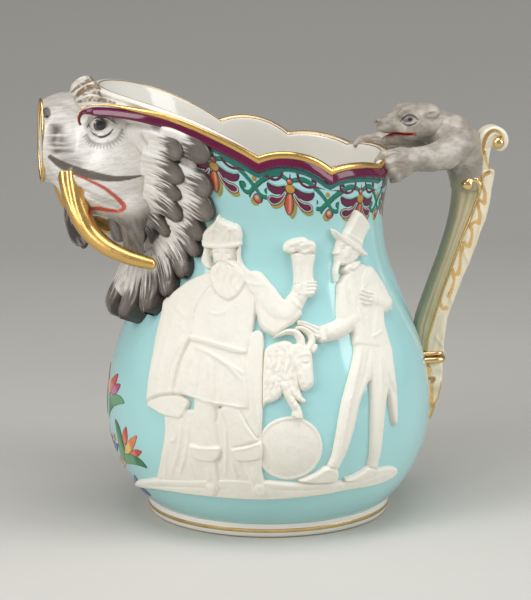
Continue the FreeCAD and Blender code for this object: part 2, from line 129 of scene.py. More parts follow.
def area_distance(x, y, corners):
    """Signed distance to a closed outline, less than nothing inside."""
    corners = np.asarray(corners, float)
    best = np.full(np.shape(x), 1e9)
    inside = np.zeros(np.shape(x), bool)
    for (ax, ay), (bx, by) in zip(corners, np.roll(corners, -1, 0)):
        dx, dy = bx - ax, by - ay
        t = np.clip(((x - ax) * dx + (y - ay) * dy) / max(dx * dx + dy * dy, 1e-9), 0.0, 1.0)
        best = np.minimum(best, np.hypot(x - ax - t * dx, y - ay - t * dy))
        inside ^= ((ay > y) != (by > y)) & (x < ax + (y - ay) * dx / (dy if abs(dy) > 1e-9 else 1e-9))
    return np.where(inside, -best, best)


# ---------------------------------------------------------------- form of the vessel, mm

BELLY_R, BELLY_Z, LOWER, UPPER = 90.0, 59.6, 70.0, 114.0
NECK_X, NECK_Z, NECK_ARC, FOOT_TOP, WALL = 137.8, 165.0, 75.0, 8.0, 4.2
LEVELS = (150.0, 165.0, 187.68, 209.55, 246.0)
CUSPS = ((54.06, 198.7), (22.57, 201.5), (-17.08, 209.6))
_c2, _c3 = (BELLY_R - UPPER, BELLY_Z), (NECK_X, NECK_Z)
_span = math.hypot(_c3[0] - _c2[0], _c3[1] - _c2[1])
_lean = math.atan2(_c3[1] - _c2[1], _c3[0] - _c2[0]) - math.acos((UPPER + NECK_ARC) / _span)
_low = (_c2[0] + UPPER * math.cos(_lean), _c2[1] + UPPER * math.sin(_lean))
_high = (_c3[0] - NECK_ARC * math.cos(_lean), _c3[1] - NECK_ARC * math.sin(_lean))


def turned(z):
    """Radius of the turned belly at a height."""
    lower = BELLY_R - LOWER + np.sqrt(np.maximum(LOWER ** 2 - (z - BELLY_Z) ** 2, 0))
    upper = BELLY_R - UPPER + np.sqrt(np.maximum(UPPER ** 2 - (z - BELLY_Z) ** 2, 0))
    slope = _low[0] + (_high[0] - _low[0]) * (z - _low[1]) / (_high[1] - _low[1])
    neck = NECK_X - np.sqrt(np.maximum(NECK_ARC ** 2 - (z - NECK_Z) ** 2, 1))
    return np.where(z < BELLY_Z, lower, np.where(z < _low[1], upper, np.where(z < _high[1], slope, neck)))


def radial(phi, z, grow=0.0):
    """Radius of the vessel's outside at an angle from +X and a height."""
    z = np.asarray(z, float)
    neck = z > LEVELS[0]
    rear = np.where(neck, eased(z, LEVELS, (64.32, 62.8, 65.4, 66.0, 66.0)), turned(np.minimum(z, LEVELS[0]))) + grow
    front = np.where(neck, eased(z, LEVELS, (64.32, 62.8, 64.26, 65.66, 68.0)), turned(np.minimum(z, LEVELS[0]))) + grow
    reach = np.where(neck, eased(z, LEVELS, (0.5, 1.8, 10.2, 18.3, 31.8)), 0.5 * ramp(z, 110, 150) + 0.001)
    c, s = np.cos(phi), np.abs(np.sin(phi))
    nx = (front - rear) / reach
    nx = np.clip(nx, -0.95, 0.95)
    ny = np.sqrt(1 - nx ** 2)
    side = rear / np.maximum(nx * c + ny * s, 1e-3)
    fore = -reach * c + np.sqrt(np.maximum((reach * c) ** 2 - reach ** 2 + front ** 2, 1))
    bearing = np.arctan2(s, c)
    return np.where(bearing < np.arctan2(ny, nx), rear,
                    np.where(bearing > np.arctan2(front * ny, front * nx - reach), fore, side))


def _arc_height(x, a, b, radius, sag):
    """Height at x of the arc from a to b; sag is +1 when it bulges up."""
    (ax, az), (bx, bz) = a, b
    mx, mz, half = (ax + bx) / 2, (az + bz) / 2, math.hypot(bx - ax, bz - az) / 2
    off = math.sqrt(radius ** 2 - half ** 2) * sag
    nx, nz = -(bz - az) / (2 * half), (bx - ax) / (2 * half)
    if nz < 0:
        nx, nz = -nx, -nz
    cx, cz = mx - nx * off, mz - nz * off
    return cz + sag * np.sqrt(np.maximum(radius ** 2 - (x - cx) ** 2, 1e-3))


def rim_line(x):
    """Height of the rim over the place x."""
    rear, middle, side = CUSPS
    return np.where(x > rear[0], _arc_height(x, (70.0, 201.7), rear, 55, 1),
                    np.where(x > middle[0], _arc_height(x, rear, middle, 55, 1),
                             np.where(x > side[0], _arc_height(x, middle, side, 42, 1),
                                      _arc_height(x, side, (-98.0, 240.6), 197, 1))))


def rim_height(phi):
    """Height of the rim at an angle, where the wall and the rim line meet."""
    z = np.full(np.shape(phi), 205.0)
    for _ in range(30):
        z = 0.5 * z + 0.5 * rim_line(radial(phi, z) * np.cos(phi))
    return z


def on_vessel(phi, z, out=0.0):
    """Points at an angle and height, a distance out along the surface normal."""
    e = 0.01
    def at(p, h):
        r = radial(p, h)
        return np.stack([r * np.cos(p), r * np.sin(p), np.broadcast_to(h, np.shape(r))], -1)
    spot = at(phi, z)
    normal = np.cross(at(phi + e, z) - at(phi - e, z), at(phi, z + 0.5) - at(phi, z - 0.5))
    normal /= np.linalg.norm(normal, axis=-1, keepdims=True)
    return spot + normal * np.asarray(out)[..., None], normal


def on_side(u, z, sign, turn=10.0):
    """Points of the wall seen straight on from one side: u across a plane turned towards the spout, height z."""
    angle = math.radians(turn)
    r = radial(np.full(np.shape(u), -math.pi / 2), z)
    for _ in range(4):
        w = np.sqrt(np.maximum(r ** 2 - u ** 2, 1.0))
        phi = np.arctan2(-w, u) - angle
        r = radial(phi, z)
    return (phi if sign < 0 else -phi), z


# ---------------------------------------------------------------- meshes

def grid_faces(rows, columns, closed=False, flip=False):
    i, j = np.meshgrid(np.arange(rows - 1), np.arange(columns if closed else columns - 1), indexing="ij")
    k = (j + 1) % columns
    quads = np.stack([i * columns + j, i * columns + k, (i + 1) * columns + k, (i + 1) * columns + j], -1)
    quads = quads.reshape(-1, 4)
    return quads[:, ::-1] if flip else quads


def piece(name, verts, faces, finish, nodes=(), paint=None, extra=None):
    """Mesh object from points in mm, riding on the vessel, in a material, standing for CAD nodes."""
    faces = np.asarray(faces, np.int32)
    spot = (np.asarray(verts, float) - (0, 0, 100))[faces[:, :3]]
    if np.einsum("ij,ij->i", spot[:, 0], np.cross(spot[:, 1], spot[:, 2])).sum() < 0:
        faces = faces[:, ::-1]
    mesh = bpy.data.meshes.new(name)
    mesh.vertices.add(len(verts))
    mesh.vertices.foreach_set("co", (np.asarray(verts, np.float32) * MM).ravel())
    mesh.loops.add(faces.size)
    mesh.loops.foreach_set("vertex_index", faces.ravel())
    mesh.polygons.add(len(faces))
    mesh.polygons.foreach_set("loop_start", np.arange(len(faces), dtype=np.int32) * faces.shape[1])
    mesh.polygons.foreach_set("use_smooth", np.ones(len(faces), bool))
    mesh.update(calc_edges=True)
    if paint is not None:
        layer = mesh.color_attributes.new("paint", "FLOAT_COLOR", "POINT")
        rgba = np.ones((len(verts), 4), np.float32)
        rgba[:, :3] = paint
        layer.data.foreach_set("color", rgba.ravel())
    for key, value in (extra or {}).items():
        layer = mesh.attributes.new(key, "FLOAT", "POINT")
        layer.data.foreach_set("value", np.asarray(value, np.float32))
    item = bpy.data.objects.new(name, mesh)
    bpy.context.scene.collection.objects.link(item)
    mesh.materials.append(finish)
    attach(item, "root")
    if nodes:
        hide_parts(*nodes)
    return item


def sweep(path, profile, closed=False, up=(0, 0, 1)):
    """Skin along path points; profile(i) gives the ring at point i as offsets (side, up)."""
    path = np.asarray(path, float)
    tangent = np.gradient(path, axis=0)
    tangent /= np.linalg.norm(tangent, axis=1, keepdims=True)
    side = np.cross(tangent, np.asarray(up, float))
    side /= np.linalg.norm(side, axis=1, keepdims=True)
    over = np.cross(side, tangent)
    rings = np.stack([profile(i) for i in range(len(path))])
    verts = path[:, None] + side[:, None] * rings[..., :1] + over[:, None] * rings[..., 1:2]
    return verts.reshape(-1, 3), grid_faces(len(path), rings.shape[1], closed=True)


def nets(field, corner, step):
    """Surface where a grid of values crosses nothing, as quads."""
    inside = field < 0
    shape = tuple(n - 1 for n in field.shape)
    total, count = np.zeros(shape + (3,)), np.zeros(shape)
    quads = []
    ids = np.arange(int(np.prod(shape))).reshape(shape)
    for axis in range(3):
        lo = [slice(None)] * 3
        hi = [slice(None)] * 3
        lo[axis], hi[axis] = slice(0, -1), slice(1, None)
        a, b = field[tuple(lo)], field[tuple(hi)]
        cross = inside[tuple(lo)] != inside[tuple(hi)]
        spot = np.argwhere(cross)
        va, vb = a[cross], b[cross]
        point = spot.astype(float)
        point[:, axis] += va / (va - vb)
        p, q = [k for k in range(3) if k != axis]
        corners = []
        keep = np.ones(len(spot), bool)
        for dp, dq in ((0, 0), (1, 0), (1, 1), (0, 1)):
            cell = spot.copy()
            cell[:, p] -= dp
            cell[:, q] -= dq
            good = (cell >= 0).all(1) & (cell < np.array(shape)).all(1)
            keep &= good
            index = tuple(np.clip(cell[:, k], 0, shape[k] - 1) for k in range(3))
            for k in range(3):
                np.add.at(total[..., k], tuple(i[good] for i in index), point[good, k])
            np.add.at(count, tuple(i[good] for i in index), 1)
            corners.append(ids[index])
        quad = np.stack(corners, -1)[keep]
        turn = (va[keep] < 0) ^ (axis == 1)
        quads.append(np.where(turn[:, None], quad, quad[:, ::-1]))
    faces = np.concatenate(quads)
    used = count > 0
    renumber = np.full(shape, -1)
    renumber[used] = np.arange(used.sum())
    verts = np.asarray(corner) + total[used] / count[used][:, None] * step
    return verts, renumber.ravel()[faces]


# ---------------------------------------------------------------- finishes

def finish(name, colour=None, rough=0.12, metallic=0.0, coat=0.0, mottle=0.04, grain=22.0, bump=0.0,
           bump_grain=60.0, wear=None, wear_amount=0.0, spread=0.3, specular=0.5, gilt=None):
    """Material: a colour, or the mesh's painted one, with soft mottling, uneven gloss, fine relief and wear."""
    made = bpy.data.materials.new(name)
    made.use_nodes = True
    nodes, links = made.node_tree.nodes, made.node_tree.links
    shader = nodes["Principled BSDF"]
    shader.inputs["Metallic"].default_value = metallic
    shader.inputs["Coat Weight"].default_value = coat
    shader.inputs["Coat Roughness"].default_value = 0.05
    shader.inputs["Specular IOR Level"].default_value = specular
    coords = nodes.new("ShaderNodeTexCoord")

    def field(scale, detail):
        cloud = nodes.new("ShaderNodeTexNoise")
        cloud.inputs["Scale"].default_value = scale
        cloud.inputs["Detail"].default_value = detail
        links.new(coords.outputs["Object"], cloud.inputs["Vector"])
        return cloud.outputs["Fac"]

    def span(source, low, high):
        node = nodes.new("ShaderNodeMapRange")
        node.inputs["From Min"].default_value, node.inputs["From Max"].default_value = 0.3, 0.7
        node.inputs["To Min"].default_value, node.inputs["To Max"].default_value = low, high
        links.new(source, node.inputs["Value"])
        return node.outputs["Result"]

    def blend(kind, factor, a, b):
        node = nodes.new("ShaderNodeMix")
        node.data_type, node.blend_type = "RGBA", kind
        for socket, value in ((node.inputs[0], factor), (node.inputs[6], a), (node.inputs[7], b)):
            if hasattr(value, "is_linked"):
                links.new(value, socket)
            else:
                socket.default_value = value
        return node.outputs[2]

    if colour is None:
        source = nodes.new("ShaderNodeAttribute")
        source.attribute_name = "paint"
        base = source.outputs["Color"]
    else:
        base = (*colour, 1.0)
    shade = nodes.new("ShaderNodeCombineColor")
    tone = span(field(grain, 3.0), 1.0 - mottle, 1.0)
    for key in ("Red", "Green", "Blue"):
        links.new(tone, shade.inputs[key])
    base = blend("MULTIPLY", 1.0, base, shade.outputs["Color"])
    if wear is not None:
        base = blend("MIX", span(field(bump_grain * 0.6, 6.0), 0.0, wear_amount), base, (*wear, 1.0))
    if gilt is not None:
        leaf = nodes.new("ShaderNodeAttribute")
        leaf.attribute_name = "gild"
        base = blend("MIX", leaf.outputs["Fac"], base, (*gilt, 1.0))
        links.new(leaf.outputs["Fac"], shader.inputs["Metallic"])
    links.new(base, shader.inputs["Base Color"])
    links.new(span(field(grain * 2.7, 4.0), rough * (1 - spread), rough * (1 + spread)), shader.inputs["Roughness"])
    if bump:
        relief = nodes.new("ShaderNodeBump")
        relief.inputs["Strength"].default_value = 1.0
        relief.inputs["Distance"].default_value = bump * MM
        links.new(field(bump_grain, 4.0), relief.inputs["Height"])
        links.new(relief.outputs["Normal"], shader.inputs["Normal"])
    return made


TURQUOISE = finish("turquoise", srgb(171, 221, 221), 0.10, bump=0.25, bump_grain=26.0, mottle=0.05, coat=0.3)
WHITE = finish("white glaze", srgb(236, 232, 222), 0.10, bump=0.25, bump_grain=30.0, mottle=0.04, coat=0.3)
PURPLE = finish("purple enamel", srgb(106, 18, 62), 0.10, bump=0.06, bump_grain=180.0, mottle=0.25, grain=60.0)
GOLD = finish("gilding", srgb(246, 214, 156), 0.20, metallic=1.0, bump=0.05, bump_grain=260.0, mottle=0.12,
              grain=120.0, wear=srgb(206, 160, 98), wear_amount=0.5)
SATIN_GOLD = finish("satin gilding", srgb(236, 192, 118), 0.27, metallic=1.0, bump=0.03, bump_grain=200.0, mottle=0.10,
                    grain=60.0, wear=srgb(220, 174, 104), wear_amount=0.15)
BISQUE = finish("bisque", srgb(238, 234, 222), 0.62, bump=0.05, bump_grain=900.0, mottle=0.035, grain=140.0,
                specular=0.3)
ENAMEL = finish("enamel", None, 0.14, bump=0.03, bump_grain=300.0, mottle=0.10, grain=90.0)
HAIR = finish("painted glaze", None, 0.26, bump=0.02, bump_grain=300.0, mottle=0.04, grain=120.0)
BEAR = finish("bear grey", None, 0.42, bump=0.08, bump_grain=420.0, mottle=0.10, grain=150.0)
IVORY = finish("ivory glaze", None, 0.20, bump=0.10, bump_grain=120.0, mottle=0.08, grain=70.0)
GILDED = finish("gilded ivory glaze", None, 0.22, bump=0.06, bump_grain=160.0, mottle=0.08, grain=70.0,
                gilt=srgb(236, 196, 130))
EYE = finish("eye glaze", None, 0.06, bump=0.01, bump_grain=200.0, mottle=0.04, coat=0.6)


# ---------------------------------------------------------------- vessel

def bore_side(y, z, grow=0.0):
    """Less than nothing inside the oval passage from the mouth."""
    return np.hypot(y / (10.5 + grow), (z - 210.5) / (20.5 + grow)) - 1.0


def make_vessel():
    phi = np.linspace(-math.pi, math.pi, 601)[:-1]
    top = rim_height(phi)
    t = np.linspace(0, 1, 130)[:, None]
    low = 8.0
    z = low + (top - 2.1 - low) * t
    wall, _ = on_vessel(np.broadcast_to(phi, z.shape), z)
    flat = [np.stack([r * np.cos(phi), r * np.sin(phi), np.full(phi.shape, 9.0 if r < 60 else 8.0)], -1)
            for r in (0.5, 20.0, 40.0, 59.0, 64.0)]
    rows = np.concatenate([np.stack(flat), wall])
    faces = grid_faces(len(rows), len(phi), closed=True)
    spot = rows.reshape(-1, 3)[faces].mean(1)
    faces = faces[~((bore_side(spot[:, 1], spot[:, 2], 1.0) < 0) & (spot[:, 0] < -60))]
    piece("vessel_glaze", rows.reshape(-1, 3), faces, TURQUOISE, ["vessel_body"])

    side = np.linspace(math.radians(134.0), math.radians(226.0), 160)
    z = rim_height(side) - np.linspace(14.0, 1.2, 20)[:, None]
    rows, _ = on_vessel(np.broadcast_to(side, z.shape), z, np.full(z.shape, 0.3))
    piece("spout_lip_glaze", rows.reshape(-1, 3), grid_faces(*z.shape), WHITE)

    turn = np.linspace(0, math.pi, 13)[:, None]
    half = WALL / 2
    lip_r = radial(phi, top - half) - half + np.cos(turn) * half
    lip = np.stack([lip_r * np.cos(phi), lip_r * np.sin(phi), top - half + np.sin(turn) * half], -1)
    z = (top - half) + (18.0 - top + half) * np.linspace(0, 1, 90)[1:, None]
    r = radial(phi, z, -WALL)
    inner = np.stack([r * np.cos(phi), r * np.sin(phi), z], -1)
    floor = []
    for share, height in ((0.97, 15.6), (0.9, 14.0), (0.75, 13.2), (0.5, 13.0), (0.25, 13.0), (0.01, 13.0)):
        floor.append(np.stack([r[-1] * share * np.cos(phi), r[-1] * share * np.sin(phi), np.full(phi.shape, height)], -1))
    rows = np.concatenate([lip, inner, np.stack(floor)])
    faces = grid_faces(len(rows), len(phi), closed=True)
    spot = rows.reshape(-1, 3)[faces].mean(1)
    faces = faces[~((bore_side(spot[:, 1], spot[:, 2], 0.6) < 0) & (spot[:, 0] < -60))]
    lining = piece("vessel_lining", rows.reshape(-1, 3), faces, WHITE)
    lining.data.flip_normals()


def lathe(name, profile, finish_, nodes=(), closed=True, columns=480):
    profile = np.asarray(profile, float)
    phi = np.linspace(0, 2 * math.pi, columns + 1)[:-1]
    rows = np.stack([profile[:, :1] * np.cos(phi), profile[:, :1] * np.sin(phi),
                     np.broadcast_to(profile[:, 1:], (len(profile), columns))], -1)
    if closed:
        rows = np.concatenate([rows, rows[:1]])
    return piece(name, rows.reshape(-1, 3), grid_faces(len(rows), columns, closed=True), finish_, nodes)


def make_foot():
    outside = curve([(61.2, 0.25), (62.5, 0.0), (64.6, 0.05), (66.6, 1.0), (67.4, 3.2), (67.5, 5.6), (67.25, 8.3)], 30)
    inside = curve([(60.0, 9.2), (59.6, 6.0), (59.7, 2.2), (60.3, 0.8), (61.2, 0.25)], 14)[:-1]
    lathe("foot_glaze", np.concatenate([inside, outside]), WHITE, ["foot_ring"])
    heights = np.linspace(3.25, 5.45, 9)
    swell = np.interp(heights, outside[:, 1], outside[:, 0])
    swell += 0.10 * np.sin(np.linspace(0, math.pi, 9)) ** 0.4
    lathe("foot_line", np.stack([swell, heights], -1), GOLD, closed=False)


def rim_path(sign):
    """From the middle of the back along the rim, over the cheek and round the brow; place and outward direction."""
    phi = np.linspace(0, math.pi * 0.86, 900)
    z = rim_height(phi)
    r = radial(phi, z)
    rim = np.stack([r * np.cos(phi), r * np.sin(phi), z], -1)
    rim[:, 2] -= 1.1 * ramp(-rim[:, 0], 5, 45)
    rim = rim[rim[:, 0] > -64.0]
    brow = np.array([rim[-14], rim[-1], (-72.7, 51.6, 233.2), (-80, 47.0, 234.3), (-87.2, 42.0, 234.9), (-94.4, 37.0, 235.1),
                     (-100.8, 33.0, 234.6), (-105.0, 31.6, 233.2), (-107.2, 30.6, 231.0), (-108.4, 30.4, 228.0),
                     (-108.4, 30.4, 225.2), (-107.6, 30.4, 223.2)])
    bend = curve(brow, 160)
    bend = bend[bend[:, 0] < rim[-1, 0] - 0.3]
    path = np.concatenate([rim, bend])
    step = np.r_[0, np.cumsum(np.linalg.norm(np.diff(path, axis=0), axis=1))]
    even = np.linspace(0, step[-1], 760)
    path = np.stack([np.interp(even, step, path[:, k]) for k in range(3)], -1)
    for _ in range(6):
        bent = path.copy()
        bent[1:-1] = (path[:-2] + 2 * path[1:-1] + path[2:]) / 4
        on_brow = ramp(-path[:, 0], 58, 66)[:, None]
        path = path * (1 - on_brow) + bent * on_brow
    return path * (1, sign, 1), even


def make_rim():
    """Gilt bead on the edge, and the purple cordon under it that runs over the cheek into the brow."""
    paths = [rim_path(sign)[0] for sign in (-1, 1)]
    path = np.concatenate([paths[0][::-1], paths[1][1:]])
    count = len(path)
    tangent = np.gradient(path, axis=0)
    tangent /= np.linalg.norm(tangent, axis=1, keepdims=True)
    centre = np.where(path[:, 0] < -40, -40.0, np.minimum(path[:, 0], 0.0))
    out = path - np.stack([centre, np.zeros(count), path[:, 2]], -1)
    out -= tangent * (out * tangent).sum(1, keepdims=True) * ramp(-path[:, 0], 70, 90)[:, None]
    out /= np.linalg.norm(out, axis=1, keepdims=True)
    brow = ramp(-path[:, 0], 64, 84)
    end = np.minimum(np.arange(count), np.arange(count)[::-1]) / 130.0
    tip = np.clip(end, 0, 1)
    drop = np.stack([np.zeros(count), np.zeros(count), -np.ones(count)], -1)
    under = np.cross(tangent, out)
    under *= np.where(under @ np.array([0.55, 0.0, -0.84]) < 0, -1, 1)[:, None]
    down = drop * (1 - brow[:, None]) + under * brow[:, None]
    down /= np.linalg.norm(down, axis=1, keepdims=True)
    phi = np.arctan2(path[:, 1], path[:, 0])
    wall_here = radial(phi, path[:, 2])

    flat = np.hypot(*np.gradient(path[:, :2], axis=0).T)
    slope = np.abs(np.gradient(path[:, 2])) / np.maximum(flat, 0.05)
    slope = np.max([np.roll(slope, k) for k in range(-6, 7)], axis=0)
    slope = np.mean([np.roll(slope, k) for k in range(-14, 15)], axis=0)
    stretch = 1 + (np.sqrt(1 + np.minimum(slope, 0.8) ** 2) - 1) * (1 - brow)

    def ring(shape, scale):
        rings = []
        for o, w in shape:
            reach = w * stretch
            fall = (radial(phi, path[:, 2] - reach) - wall_here) * (1 - brow)
            rings.append(path + out * (o * scale + fall)[:, None] + down * (reach * scale)[:, None])
        return np.stack(rings, 1)

    girth = (0.74 + 0.26 * ramp(-path[:, 0], -62, -20)) * (1 - 0.12 * ramp(-path[:, 0], 10, 60))
    turn = np.linspace(0, 2 * math.pi, 17)[:-1]
    shape = [(0.1 + 1.7 * math.cos(a), 1.75 - 2.15 * math.sin(a)) for a in turn]
    fade = 0.25 + 0.75 * ramp(end * 130.0, 60, 150)
    bead = ring(shape, girth * fade * (1 - 0.25 * brow))
    verts = bead.reshape(-1, 3)
    piece("rim_bead", verts, grid_faces(count, len(shape), closed=True), SATIN_GOLD)

    around = np.linspace(0, 2 * math.pi, 900)[:-1, None]
    lip = radial(around, rim_height(around) - 0.5 * WALL) - 0.85 * WALL + 0.36 * np.cos(turn)
    top = rim_height(around) - 0.15 * WALL + 0.36 * np.sin(turn)
    line = np.stack([lip * np.cos(around), lip * np.sin(around), top], -1)
    ids = np.arange(top.size).reshape(top.shape)
    faces = np.stack([ids, np.roll(ids, -1, 0), np.roll(np.roll(ids, -1, 0), -1, 1), np.roll(ids, -1, 1)], -1)
    piece("rim_gilt_line", line.reshape(-1, 3), faces.reshape(-1, 4), GOLD)

    shape = [(-1.2, 2.0), (0.3, 2.6), (1.05, 3.0), (1.5, 3.6), (1.9, 4.5), (2.3, 5.6), (2.45, 6.5), (2.35, 7.1),
             (1.9, 7.5), (1.0, 7.7), (-1.2, 7.8)]
    shape = [tuple(v) for v in curve(shape, 27)]
    wide = (0.30 + 0.70 * ramp(tip, 0.0, 0.55)) * (1 - 0.12 * brow)
    band = ring(shape, wide)
    rows = band.reshape(-1, 3)
    faces = grid_faces(count, len(shape), closed=True)
    piece("rim_band", rows, faces, PURPLE, ["rim_moulding", "brow_right", "brow_left"])


# ---------------------------------------------------------------- moulded figures

